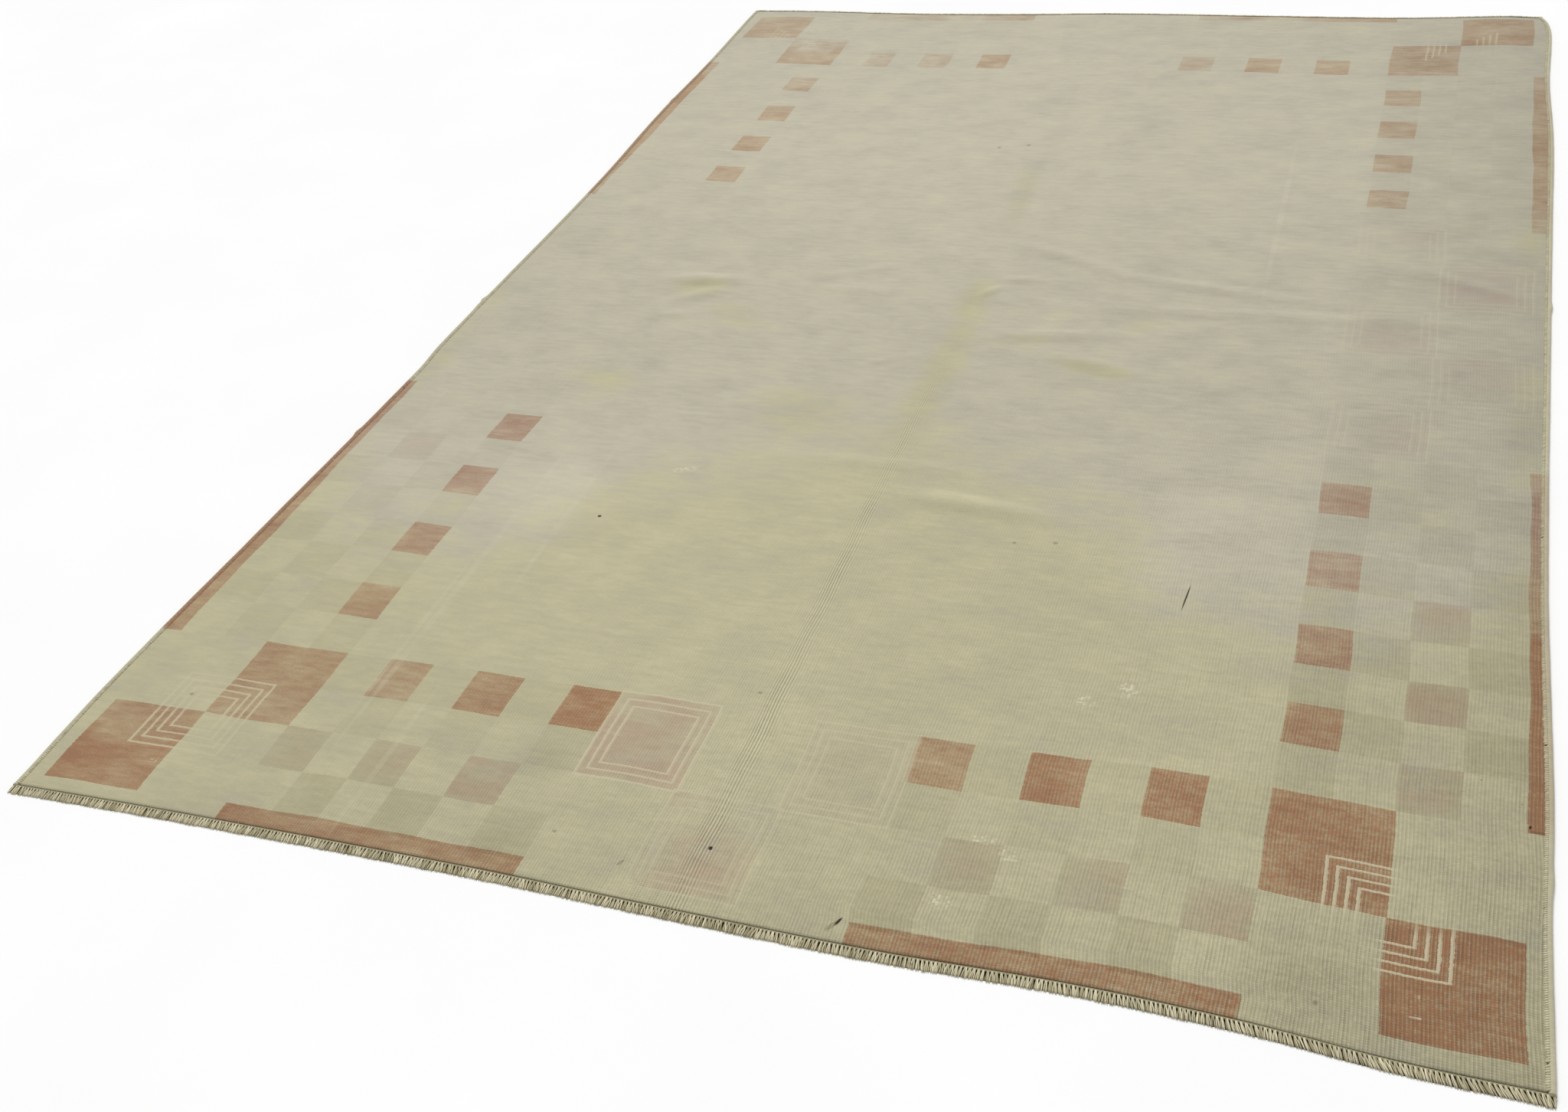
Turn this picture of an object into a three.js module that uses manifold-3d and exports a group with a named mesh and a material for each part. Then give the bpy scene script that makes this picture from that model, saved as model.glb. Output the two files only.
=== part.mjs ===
// Worn Anatolian rug, laid flat: a knotted body, an overcast cord along each long side
// and a short cut fringe at each end.
// Millimetres. X runs across the rug, Y along it from the near end to the far end, Z up.
// The origin is the middle of the rug, on the floor.

import * as THREE from "three";
import { mergeVertices } from "three/addons/utils/BufferGeometryUtils.js";
import Module from "manifold-3d";

// Driving dimensions
const WIDTH = 1960; // between the outer faces of the side cords
const LENGTH = 3000; // of the knotted body, without the fringes
const THICKNESS = 5; // knots, wefts and the worn pile together
const SEAM = 0.3; // gap between two pieces that are sewn together
const CORD_WIDTH = 8;
const CORD_HEIGHT = 6;
const BAND_WIDTH = 4; // the whipped band that the fringe hangs from
const BAND_HEIGHT = 3.6;
const STRANDS_PER_END = 130; // each stands for two neighbouring warp tufts
const STRAND_REACH = 10.5; // from the band to a strand's tip
const STRAND_WIDTH = 8.5;
const STRAND_HEIGHT = 3;
const STRAND_ROOT = 2; // how deep a strand starts inside the band
const STRAND_LEAN = 0.2; // uneven sideways run of a strand for each mm of reach
const CORNER_LEAN = 0.7; // the same at the near right corner, where the strands were swept aside
const SWEPT_FROM = 250; // where across the rug that sweep begins
const COLUMNS = 36; // mesh steps across

// Where the mesh rows lie along the rug: close together only where it is rucked
const ROW_ZONES = [
  { from: -1500, to: -700, steps: 6 },
  { from: -700, to: -480, steps: 10 },
  { from: -480, to: -260, steps: 2 },
  { from: -260, to: 280, steps: 26 },
  { from: 280, to: 1400, steps: 7 },
  { from: 1400, to: 1500, steps: 3 },
];

// How far each edge stands out from the plain rectangle, by the place along that edge
const LEFT_EDGE = [
  { at: -1480, out: 4 },
  { at: -1280, out: 9 },
  { at: -880, out: 0 },
  { at: -380, out: -10 },
  { at: -280, out: -5 },
  { at: 420, out: -12 },
  { at: 820, out: -1 },
  { at: 1120, out: -3 },
  { at: 1420, out: 3 },
];
const RIGHT_EDGE = [
  { at: -1480, out: 5 },
  { at: -1280, out: 2 },
  { at: -1080, out: 4 },
  { at: -680, out: -2 },
  { at: 20, out: 2 },
  { at: 420, out: 5 },
  { at: 820, out: 8 },
  { at: 1120, out: 1 },
  { at: 1400, out: 5 },
  { at: 1465, out: -2 },
  { at: 1500, out: -14 },
];
const NEAR_EDGE = [
  { at: -970, out: -7 },
  { at: -730, out: -13 },
  { at: -280, out: -17 },
  { at: 0, out: -13 },
  { at: 260, out: -11 },
  { at: 494, out: -18 },
  { at: 680, out: -13 },
  { at: 832, out: -1 },
  { at: 970, out: 2 },
];
const FAR_EDGE = [
  { at: -970, out: 9 },
  { at: -820, out: 7 },
  { at: -520, out: -10 },
  { at: -220, out: -10 },
  { at: 5, out: -4 },
  { at: 380, out: -17 },
  { at: 680, out: -26 },
  { at: 905, out: -12 },
  { at: 970, out: -18 },
];

// The soft rucks: place of the middle, turn from the X axis, size on the floor and lift
const RUCKS = [
  { name: "left upper", x: -545, y: 35, turn: 4, length: 230, width: 60, lift: 6 },
  { name: "left lower", x: -530, y: -25, turn: 32, length: 150, width: 55, lift: 5 },
  { name: "left long", x: -255, y: 30, turn: 1, length: 330, width: 50, lift: 2 },
  { name: "left rising", x: -240, y: 105, turn: 22, length: 220, width: 45, lift: 2 },
  { name: "centre falling", x: 155, y: 195, turn: -26, length: 340, width: 50, lift: 4 },
  { name: "right falling", x: 425, y: 110, turn: -9, length: 480, width: 50, lift: 4 },
  { name: "right rim", x: 835, y: 182, turn: -26, length: 330, width: 50, lift: 4 },
  { name: "right long", x: 475, y: 23, turn: 1.5, length: 950, width: 55, lift: 2.5 },
  { name: "centre fan", x: 175, y: -90, turn: 8, length: 330, width: 55, lift: 4 },
  { name: "centre dent", x: 255, y: -180, turn: -17, length: 260, width: 55, lift: 4 },
  { name: "low near", x: -15, y: -528, turn: 0, length: 560, width: 50, lift: 2 },
  { name: "strong near", x: 175, y: -620, turn: -6, length: 320, width: 60, lift: 5 },
];

// A smooth curve through a table's rows: a cubic piece between neighbours, level with their chord
function standOut(edge, at) {
  const last = edge.length - 1;
  if (at <= edge[0].at) return edge[0].out;
  if (at >= edge[last].at) return edge[last].out;
  const i = edge.findIndex((row) => row.at > at) - 1;
  const chord = (a, b) => (edge[b].out - edge[a].out) / (edge[b].at - edge[a].at);
  const slopeHere = chord(Math.max(i - 1, 0), i + 1);
  const slopeNext = chord(i, Math.min(i + 2, last));
  const span = edge[i + 1].at - edge[i].at;
  const t = (at - edge[i].at) / span;
  const risen = t * t * (3 - 2 * t);
  const leaving = span * slopeHere * t * (1 - t) * (1 - t);
  const arriving = span * slopeNext * t * t * (t - 1);
  return edge[i].out + (edge[i + 1].out - edge[i].out) * risen + leaving + arriving;
}

// Height of the cloth's underside above the floor: each ruck is a long smooth bump that ends level
function liftAt(x, y) {
  let height = 0;
  for (const ruck of RUCKS) {
    const turn = THREE.MathUtils.degToRad(ruck.turn);
    const dx = x - ruck.x;
    const dy = y - ruck.y;
    const s = (dx * Math.cos(turn) + dy * Math.sin(turn)) / (ruck.length / 2);
    const t = (dy * Math.cos(turn) - dx * Math.sin(turn)) / (ruck.width / 2);
    if (Math.abs(s) < 1 && Math.abs(t) < 1) {
      height += ruck.lift * (1 - s * s) ** 2 * (1 - t * t) ** 2;
    }
  }
  return height;
}

// A place on the rug from its plain coordinates: the four wavy edges carry the grid between them
function onRug(x, y, inset = 0) {
  const left = -WIDTH / 2 - standOut(LEFT_EDGE, y) + inset;
  const right = WIDTH / 2 + standOut(RIGHT_EDGE, y) - inset;
  const near = -LENGTH / 2 - standOut(NEAR_EDGE, x);
  const far = LENGTH / 2 + standOut(FAR_EDGE, x);
  const px = THREE.MathUtils.lerp(left, right, x / WIDTH + 0.5);
  const py = THREE.MathUtils.lerp(near, far, y / LENGTH + 0.5);
  return { x: px, y: py };
}

function rowPlaces() {
  const rows = [ROW_ZONES[0].from];
  for (const zone of ROW_ZONES) {
    for (let i = 1; i <= zone.steps; i += 1) {
      rows.push(zone.from + ((zone.to - zone.from) * i) / zone.steps);
    }
  }
  return rows;
}

function columnPlaces() {
  return Array.from({ length: COLUMNS + 1 }, (_, i) => (i / COLUMNS - 0.5) * WIDTH);
}

// One closed mesh from rings of points: each ring runs counter-clockwise seen against the path
function loft(rings) {
  const count = rings[0].length;
  const positions = rings.flat().flatMap((p) => [p.x, p.y, p.z]);
  const faces = [];
  for (let r = 0; r + 1 < rings.length; r += 1) {
    for (let i = 0; i < count; i += 1) {
      const a = r * count + i;
      const b = r * count + ((i + 1) % count);
      faces.push(a, b, b + count, a, b + count, a + count);
    }
  }
  const end = (rings.length - 1) * count;
  for (let i = 1; i + 1 < count; i += 1) {
    faces.push(0, i + 1, i);
    faces.push(end, end + i, end + i + 1);
  }
  const geometry = new THREE.BufferGeometry();
  geometry.setAttribute("position", new THREE.Float32BufferAttribute(positions, 3));
  geometry.setIndex(faces);
  return geometry;
}

// The knotted body: a grid on the floor side, the same grid one thickness higher, and its rim
function fieldGeometry() {
  const rows = rowPlaces();
  const columns = columnPlaces();
  const inset = CORD_WIDTH + SEAM;
  const under = [];
  for (const y of rows) {
    for (const x of columns) {
      const p = onRug(x, y, inset);
      under.push({ x: p.x, y: p.y, z: liftAt(p.x, p.y) });
    }
  }
  const upper = under.map((p) => ({ x: p.x, y: p.y, z: p.z + THICKNESS }));
  const positions = [...under, ...upper].flatMap((p) => [p.x, p.y, p.z]);
  const top = under.length;
  const wide = columns.length;
  const faces = [];
  for (let r = 0; r + 1 < rows.length; r += 1) {
    for (let c = 0; c + 1 < wide; c += 1) {
      const a = r * wide + c;
      const b = a + 1;
      const d = a + wide;
      const e = d + 1;
      faces.push(top + a, top + b, top + e, top + a, top + e, top + d);
      faces.push(a, e, b, a, d, e);
    }
  }
  const nearRim = columns.map((_, c) => c);
  const farRim = columns.map((_, c) => (rows.length - 1) * wide + c).reverse();
  const rightRim = rows.map((_, r) => r * wide + wide - 1);
  const leftRim = rows.map((_, r) => r * wide).reverse();
  for (const rim of [nearRim, rightRim, farRim, leftRim]) {
    for (let i = 0; i + 1 < rim.length; i += 1) {
      const a = rim[i];
      const b = rim[i + 1];
      faces.push(a, b, top + b, a, top + b, top + a);
    }
  }
  const geometry = new THREE.BufferGeometry();
  geometry.setAttribute("position", new THREE.Float32BufferAttribute(positions, 3));
  geometry.setIndex(faces);
  return geometry;
}

// An overcast cord: an eight-sided oval with a flat foot, swept along one side of the rug
function cordGeometry(side) {
  const sides = 8;
  const halfStep = Math.PI / sides;
  const rings = rowPlaces().map((y) => {
    const outer = onRug((side * WIDTH) / 2, y);
    const middle = outer.x - (side * CORD_WIDTH) / 2;
    const lift = liftAt(middle, outer.y);
    return Array.from({ length: sides }, (_, i) => {
      const angle = -(2 * i + 1) * halfStep;
      return {
        x: middle + ((CORD_WIDTH / 2) * Math.cos(angle)) / Math.cos(halfStep),
        y: outer.y,
        z: lift + CORD_HEIGHT / 2 + ((CORD_HEIGHT / 2) * Math.sin(angle)) / Math.cos(halfStep),
      };
    });
  });
  return loft(rings);
}

// The line of one end, from the outer face of one cord to that of the other: end is -1 near, 1 far
function endLine(end) {
  const y = (end * LENGTH) / 2;
  const body = columnPlaces().map((x) => onRug(x, y, CORD_WIDTH + SEAM));
  return [onRug(-WIDTH / 2, y), ...body, onRug(WIDTH / 2, y)];
}

function bandGeometry(end) {
  const rings = endLine(end).map((p) => {
    const inner = p.y + end * SEAM;
    const outer = inner + end * BAND_WIDTH;
    const lift = liftAt(p.x, p.y);
    const [low, high] = end < 0 ? [outer, inner] : [inner, outer];
    return [
      { x: p.x, y: low, z: lift },
      { x: p.x, y: high, z: lift },
      { x: p.x, y: high, z: lift + BAND_HEIGHT },
      { x: p.x, y: low, z: lift + BAND_HEIGHT },
    ];
  });
  return loft(rings);
}

// A four-sided strand that lies on the floor: wide at its root, narrower and lower at its tip
function strandGeometry(index, end) {
  const pitch = WIDTH / STRANDS_PER_END;
  const x = -WIDTH / 2 + pitch * (index + 0.5);
  const p = onRug(x, (end * LENGTH) / 2);
  const uneven = Math.sin(index * 2.4) * 0.6 + Math.sin(index * 0.37) * 0.4;
  const reach = STRAND_REACH * (1 + 0.14 * Math.sin(index * 1.7));
  const swept = end < 0 ? THREE.MathUtils.smoothstep(x, SWEPT_FROM, WIDTH / 2) : 0;
  const lean = (STRAND_LEAN * uneven + CORNER_LEAN * swept) * reach;
  const root = p.y + end * (SEAM + BAND_WIDTH - STRAND_ROOT);
  const tip = p.y + end * (SEAM + BAND_WIDTH + reach);
  const tipWidth = STRAND_WIDTH * 0.8;
  const tipHeight = STRAND_HEIGHT * 0.7;
  const ring = (middle, y, width, height) => {
    const points = [
      { x: middle + width / 2, y, z: 0 },
      { x: middle - width / 2, y, z: 0 },
      { x: middle - width / 2 + height * 0.3, y, z: height },
      { x: middle + width / 2 - height * 0.3, y, z: height },
    ];
    return end < 0 ? points.reverse() : points;
  };
  const rings = [ring(p.x, root, STRAND_WIDTH, STRAND_HEIGHT), ring(p.x + lean, tip, tipWidth, tipHeight)];
  return loft(rings);
}

const wasm = await Module();
wasm.setup();

function toSolid(geometry) {
  const merged = mergeVertices(geometry);
  const mesh = new wasm.Mesh({
    numProp: 3,
    vertProperties: new Float32Array(merged.attributes.position.array),
    triVerts: new Uint32Array(merged.index.array),
  });
  return new wasm.Manifold(mesh);
}

function fromSolid(solid) {
  const mesh = solid.getMesh();
  const geometry = new THREE.BufferGeometry();
  geometry.setAttribute("position", new THREE.BufferAttribute(new Float32Array(mesh.vertProperties), 3));
  geometry.setIndex(new THREE.BufferAttribute(new Uint32Array(mesh.triVerts), 1));
  return geometry;
}

// One end's fringe: the whipped band with every strand fused to it
function fringeGeometry(end) {
  let fringe = toSolid(bandGeometry(end));
  for (let index = 0; index < STRANDS_PER_END; index += 1) {
    fringe = fringe.add(toSolid(strandGeometry(index, end)));
  }
  return fromSolid(fringe);
}

const sageWool = new THREE.MeshStandardMaterial({ color: 0xb9b698, roughness: 0.95, metalness: 0 });
const cordWool = new THREE.MeshStandardMaterial({ color: 0xa9a684, roughness: 0.95, metalness: 0 });
const warpCotton = new THREE.MeshStandardMaterial({ color: 0xc4bd98, roughness: 0.95, metalness: 0 });

function piece(name, geometry, material) {
  const mesh = new THREE.Mesh(geometry, material);
  mesh.name = name;
  return mesh;
}

const rug = new THREE.Group();
rug.add(piece("rug_field", fieldGeometry(), sageWool));
rug.add(piece("side_cord_left", cordGeometry(-1), cordWool));
rug.add(piece("side_cord_right", cordGeometry(1), cordWool));
rug.add(piece("fringe_near", fringeGeometry(-1), warpCotton));
rug.add(piece("fringe_far", fringeGeometry(1), warpCotton));

export default rug;
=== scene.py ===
"""A worn Anatolian rug laid flat on a pale floor: a knotted wool body with a squared border,
an overcast cord along each long side and a short cut fringe at each end.
Tables hold millimetres, and meshes hold metres."""

import math

import bpy
import numpy as np
from mathutils import Matrix, Vector


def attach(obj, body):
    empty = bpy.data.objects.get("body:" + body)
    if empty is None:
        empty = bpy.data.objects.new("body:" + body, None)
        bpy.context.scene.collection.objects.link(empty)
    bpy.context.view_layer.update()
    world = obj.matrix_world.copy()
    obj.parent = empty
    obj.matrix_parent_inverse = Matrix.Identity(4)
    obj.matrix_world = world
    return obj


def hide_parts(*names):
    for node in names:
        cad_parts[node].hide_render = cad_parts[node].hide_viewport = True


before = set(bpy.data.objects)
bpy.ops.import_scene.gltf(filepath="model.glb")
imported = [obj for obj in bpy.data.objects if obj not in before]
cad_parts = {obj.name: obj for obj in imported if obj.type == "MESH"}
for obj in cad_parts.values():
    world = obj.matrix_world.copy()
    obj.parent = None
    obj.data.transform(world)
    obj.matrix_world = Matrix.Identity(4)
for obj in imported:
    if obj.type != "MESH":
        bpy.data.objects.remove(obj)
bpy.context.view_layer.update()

MM = 0.001


def table(columns, *rows):
    """Rows under named columns, each as a dictionary."""
    return [dict(zip(columns.split(), row)) for row in rows]


# The rug's own sizes, as in its solids
WIDTH = 1960
LENGTH = 3000
THICKNESS = 5
SEAM = 0.3
CORD_WIDTH = 8
CORD_HEIGHT = 6
BAND_WIDTH = 4
STRAND_REACH = 10.5
STRAND_LEAN = 0.2
CORNER_LEAN = 0.7
SWEPT_FROM = 250

# How far each edge stands out from the plain rectangle, by the place along that edge
LEFT_EDGE = table(
    "at out",
    (-1480, 4),
    (-1280, 9),
    (-880, 0),
    (-380, -10),
    (-280, -5),
    (420, -12),
    (820, -1),
    (1120, -3),
    (1420, 3),
)
RIGHT_EDGE = table(
    "at out",
    (-1480, 5),
    (-1280, 2),
    (-1080, 4),
    (-680, -2),
    (20, 2),
    (420, 5),
    (820, 8),
    (1120, 1),
    (1400, 5),
    (1465, -2),
    (1500, -14),
)
NEAR_EDGE = table(
    "at out",
    (-970, -7),
    (-730, -13),
    (-280, -17),
    (0, -13),
    (260, -11),
    (494, -18),
    (680, -13),
    (832, -1),
    (970, 2),
)
FAR_EDGE = table(
    "at out",
    (-970, 9),
    (-820, 7),
    (-520, -10),
    (-220, -10),
    (5, -4),
    (380, -17),
    (680, -26),
    (905, -12),
    (970, -18),
)

# The soft rucks of the solids: place of the middle, turn from the X axis, size on the floor and lift
RUCKS = table(
    "name x y turn length width lift",
    ("left upper", -545, 35, 4, 230, 60, 6),
    ("left lower", -530, -25, 32, 150, 55, 5),
    ("left long", -255, 30, 1, 330, 50, 2),
    ("left rising", -240, 105, 22, 220, 45, 2),
    ("centre falling", 155, 195, -26, 340, 50, 4),
    ("right falling", 425, 110, -9, 480, 50, 4),
    ("right rim", 835, 182, -26, 330, 50, 4),
    ("right long", 475, 23, 1.5, 950, 55, 2.5),
    ("centre fan", 175, -90, 8, 330, 55, 4),
    ("centre dent", 255, -180, -17, 260, 55, 4),
    ("low near", -15, -528, 0, 560, 50, 2),
    ("strong near", 175, -620, -6, 320, 60, 5),
)

# Smaller creases between them
CREASES = table(
    "name x y turn length width lift",
    ("left tail", -560, -108, 15, 100, 40, 3),
    ("centre short", 70, 105, 5, 130, 40, 3),
    ("centre cross", 25, 55, 45, 90, 35, 3),
    ("left of centre", -105, -215, 30, 90, 30, 2),
    ("left low", -190, -370, 45, 90, 30, 2),
)

# The weaver's chart counts columns from the middle and rows from the near end. A column is 17 knots
# of 4.3 mm and a row is 24 lines of 3.4 mm. Here is where its lines came to lie in the woven rug.
KNOTS = 17
LINES = 24
CHART_ROWS = 36
FIRST_LINE = -1250
LAST_LINE = 1250
COLUMN_LINES = table(
    "column near far",
    (-13.6, -994, -997),
    (-13, -951, -947),
    (-11, -794, -797),
    (-10, -721, -718),
    (-9, -652, -649),
    (-8, -579, -566),
    (-7, -509, -503),
    (-6, -436, -428),
    (-5, -360, -355),
    (-4, -284, -282),
    (-3, -204, -212),
    (-1, -59, -66),
    (0, 8, 2),
    (1, 85, 72),
    (3, 224, 195),
    (4, 299, 270),
    (5, 373, 345),
    (6, 448, 419),
    (7, 523, 496),
    (8, 593, 568),
    (9, 669, 653),
    (10, 739, 726),
    (11, 812, 797),
    (13, 957, 948),
    (13.6, 999, 996),
)

# How far the columns stray to the right: at the near right corner by the place along the rug, and
# by one amount in the end bar beside it
CORNER_FROM = 720
END_FROM = 150
DRIFT_FADE = 60
END_LINE = -1455
END_FADE = 15
END_DRIFT = 4.5
CORNER_DRIFT = table(
    "y drift",
    (-1500, 3),
    (-1470, 2),
    (-1380, -1.5),
    (-1320, -3),
    (-1250, 0),
)

# The rows, read off at two lines down the rug
LEFT_LINE = -750
RIGHT_LINE = 750
ROW_LINES = table(
    "row left right",
    (-0.6, -1525, -1521),
    (0, -1476, -1472),
    (2, -1314, -1309),
    (3, -1235, -1229),
    (4, -1154, -1139),
    (5, -1072, -1054),
    (6, -993, -976),
    (7, -908, -898),
    (8, -830, -815),
    (9, -740, -728),
    (10, -661, -642),
    (11, -577, -549),
    (12, -496, -468),
    (13, -415, -388),
    (15, -248, -229),
    (17, -85, -70),
    (19, 88, 94),
    (21, 243, 250),
    (23, 375, 399),
    (24, 468, 481),
    (25, 542, 558),
    (26, 626, 643),
    (27, 707, 726),
    (28, 795, 807),
    (29, 880, 892),
    (30, 972, 973),
    (31, 1053, 1060),
    (32, 1138, 1143),
    (33, 1228, 1225),
    (34, 1306, 1321),
    (36, 1455, 1481),
    (36.6, 1505, 1531),
)

# How much red dye each square has kept, by its middle on the chart
DYE_KEPT = table(
    "square column row kept",
    ("near left corner low", -12, 0.4, 1.0),
    ("near left corner high", -12, 1.6, 0.78),
    ("near left second", -10, 3, 0.78),
    ("near left end 7", -7.5, 3.5, 0.68),
    ("near left end 5", -5.5, 3.5, 0.84),
    ("near left end 3", -3.5, 3.5, 1.05),
    ("near left bar", -6, -0.2, 0.86),
    ("near right bar", 6, -0.2, 0.90),
    ("near right end 3", 3.5, 3.5, 0.80),
    ("near right end 5", 5.5, 3.5, 1.0),
    ("near right end 7", 7.5, 3.5, 0.98),
    ("near right second", 10, 3, 0.98),
    ("near right corner", 12, 1, 1.08),
    ("left side low", -9.5, 6, 0.74),
    ("left side mid", -9.5, 10, 0.72),
    ("right side low", 9.5, 5.5, 0.86),
    ("right side 7", 9.5, 7.5, 0.80),
    ("right side mid", 9.5, 10.5, 0.70),
    ("left bar low", -13.3, 6, 0.84),
    ("left bar mid", -13.3, 11, 0.84),
    ("right bar low", 13.3, 6, 1.1),
    ("right bar mid", 13.3, 11, 0.72),
    ("left bar far", -13.3, 28, 0.75),
    ("right bar far", 13.3, 28, 0.62),
    ("left side far", -9.5, 27, 0.58),
    ("left side last", -9.5, 30.5, 0.44),
    ("right side far", 9.5, 27, 0.48),
    ("right side last", 9.5, 30.5, 0.50),
    ("far left second low", -10, 32.4, 0.50),
    ("far left second high", -10, 33.6, 0.20),
    ("far left corner", -12, 35, 0.50),
    ("far left end 7", -7.5, 32.5, 0.26),
    ("far left end 5", -5.5, 32.5, 0.30),
    ("far left end 3", -3.5, 32.5, 0.50),
    ("far right end 3", 3.5, 32.5, 0.30),
    ("far right end 5", 5.5, 32.5, 0.56),
    ("far right end 7", 7.5, 32.5, 0.54),
    ("far right second", 10, 33, 0.50),
    ("far right corner", 12, 35, 0.62),
    ("far bars", 0, 36.2, 0.40),
)

# Where the mauve dye still shows, by its place on the chart, with how much is left
MAUVE_LEFT = table(
    "place column row reach left",
    ("framed block", -2, 3, 1.35, 1.15),
    ("ghost block", 2, 3, 1.1, 0.25),
    ("lower ghost", 0.1, 0.45, 0.8, 0.75),
    ("left check 8", -8.5, 1.5, 0.65, 0.50),
    ("left check 6", -6.4, 1.6, 0.60, 0.55),
    ("left check 4", -4.5, 1.5, 0.80, 1.0),
    ("right check 4", 4.4, 1.7, 0.60, 0.70),
    ("right check 6", 6.7, 1.5, 0.55, 0.60),
    ("right check 8", 8.6, 1.2, 0.60, 0.75),
    ("right side 4", 11.4, 4.7, 0.60, 0.80),
    ("right side 6", 11.5, 6.5, 0.65, 0.95),
    ("right side 8", 11.5, 8.7, 0.55, 0.60),
    ("left side 10", -11.5, 10.5, 0.6, 0.35),
    ("right block 14", 10.4, 13.9, 0.7, 0.35),
    ("right block 16", 12, 16.5, 0.8, 0.40),
    ("right block 18", 10, 17.5, 0.8, 0.40),
    ("right block 20", 12, 20.0, 0.9, 0.55),
    ("right block 22", 10.5, 22.5, 0.6, 0.30),
)

# How clear the thin woven lines are, by the middle of the block that they run through
LINES_LEFT = table(
    "block column row left",
    ("near right corner", 11.5, 1.5, 1.0),
    ("near right second", 10.5, 2.5, 1.0),
    ("near right ground below", 10.5, 1.5, 0.16),
    ("near right ground above", 11.5, 2.5, 0.06),
    ("near left corner", -11.5, 1.5, 0.85),
    ("near left second", -10.5, 2.5, 0.85),
    ("near left ground below", -10.5, 1.5, 0.42),
    ("near left ground above", -11.5, 2.5, 0.45),
    ("far right corner", 11.5, 34.5, 0.50),
    ("far right second", 10.5, 33.5, 0.55),
    ("far left corner", -11.5, 34.5, 0.35),
    ("far left second", -10.5, 33.5, 0.25),
    ("far right ground above", 10.5, 34.5, 0.10),
    ("far right ground below", 11.5, 33.5, 0.10),
    ("far left ground above", -10.5, 34.5, 0.15),
    ("far left ground below", -11.5, 33.5, 0.10),
    ("framed block", -2, 3, 0.90),
    ("ghost block", 2, 3, 0.52),
    ("lower ghost", 0, 1, 0.42),
    ("right block 14", 10, 14, 0.24),
    ("right block 16", 12, 16, 0.18),
    ("right block 18", 10, 18, 0.22),
    ("right block 20", 12, 20, 0.22),
    ("right block 22", 10, 22, 0.22),
    ("left block 14", -10, 14, 0.15),
    ("left block 16", -12, 16, 0.15),
    ("left block 18", -10, 18, 0.10),
    ("left block 20", -12, 20, 0.12),
    ("left block 22", -10, 22, 0.10),
    ("far blocks", 0, 33, 0.05),
)

# How dark the darker checks are, by their place on the chart: blended between these
CHECKS_LEFT = table(
    "place column row left",
    ("near left low", -6, 0.5, 1.0),
    ("near right low", 6, 0.5, 1.0),
    ("near left high", -6, 3, 0.40),
    ("near right high", 6, 3, 0.30),
    ("left side low", -11, 6, 0.55),
    ("left side mid", -11, 10, 0.40),
    ("left side high", -11, 12, 0.15),
    ("right side low", 11, 6, 0.90),
    ("right side mid", 11, 10, 0.60),
    ("right side high", 11, 12, 0.30),
    ("far side left", -11, 28, 0.08),
    ("far side right", 11, 28, 0.22),
    ("far end", 0, 35, 0.12),
)

# Where the olive cast of the near end stops along the rug, by the place across it, and the depth
# over which it fades
OLIVE_FRONT = table(
    "at y",
    (-980, -640),
    (-850, -830),
    (-600, -860),
    (-480, -770),
    (-420, -640),
    (-250, -560),
    (0, -420),
    (250, -560),
    (400, -640),
    (480, -780),
    (700, -830),
    (850, -800),
    (980, -560),
)
FRONT_DEPTH = 300

# Soft patches of the same cast beyond that line: middle, half sizes, turn and strength
OLIVE_PATCHES = table(
    "name x y across along turn amount",
    ("fold low", 5, -210, 60, 330, 0, 0.9),
    ("fold mid", 0, 40, 55, 120, 0, 0.8),
    ("fold high", -15, 480, 40, 210, 6, 0.6),
    ("left ruck", -545, 0, 110, 60, 10, 0.9),
    ("left tail", -430, -90, 110, 60, -30, 0.6),
    ("left pool", -590, -350, 120, 90, 0, 0.55),
    ("left mid pool", -200, -390, 140, 110, 0, 0.7),
    ("centre dent", 255, -190, 120, 50, -15, 0.8),
    ("centre fan", 110, -110, 90, 40, 5, 0.5),
    ("right pool", 310, -20, 60, 70, 0, 0.4),
    ("right squares", 800, -500, 160, 170, 0, 0.45),
    ("left rim low", -945, -320, 40, 260, 0, 0.6),
    ("left rim mid", -945, -60, 35, 90, 0, 0.6),
    ("right rim", 950, -250, 50, 260, 0, 0.6),
    ("right rim far", 950, 330, 40, 220, 0, 0.5),
)

# How pale the wool is across and along the rug: one is the plain ground
PALE_ACROSS = table(
    "at pale",
    (-990, 0.965),
    (-880, 0.985),
    (-500, 1.0),
    (-150, 1.0),
    (60, 0.98),
    (380, 0.955),
    (640, 0.935),
    (700, 0.88),
    (860, 0.845),
    (930, 0.80),
    (990, 0.78),
)
PALE_ALONG = table(
    "at pale",
    (-1520, 0.90),
    (-1400, 0.925),
    (-1300, 0.93),
    (-1150, 0.955),
    (-1000, 0.965),
    (-700, 0.98),
    (-480, 0.955),
    (-300, 0.935),
    (-100, 0.945),
    (100, 0.955),
    (200, 0.955),
    (300, 0.97),
    (600, 0.995),
    (1000, 0.985),
    (1250, 0.975),
    (1520, 0.95),
)

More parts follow.
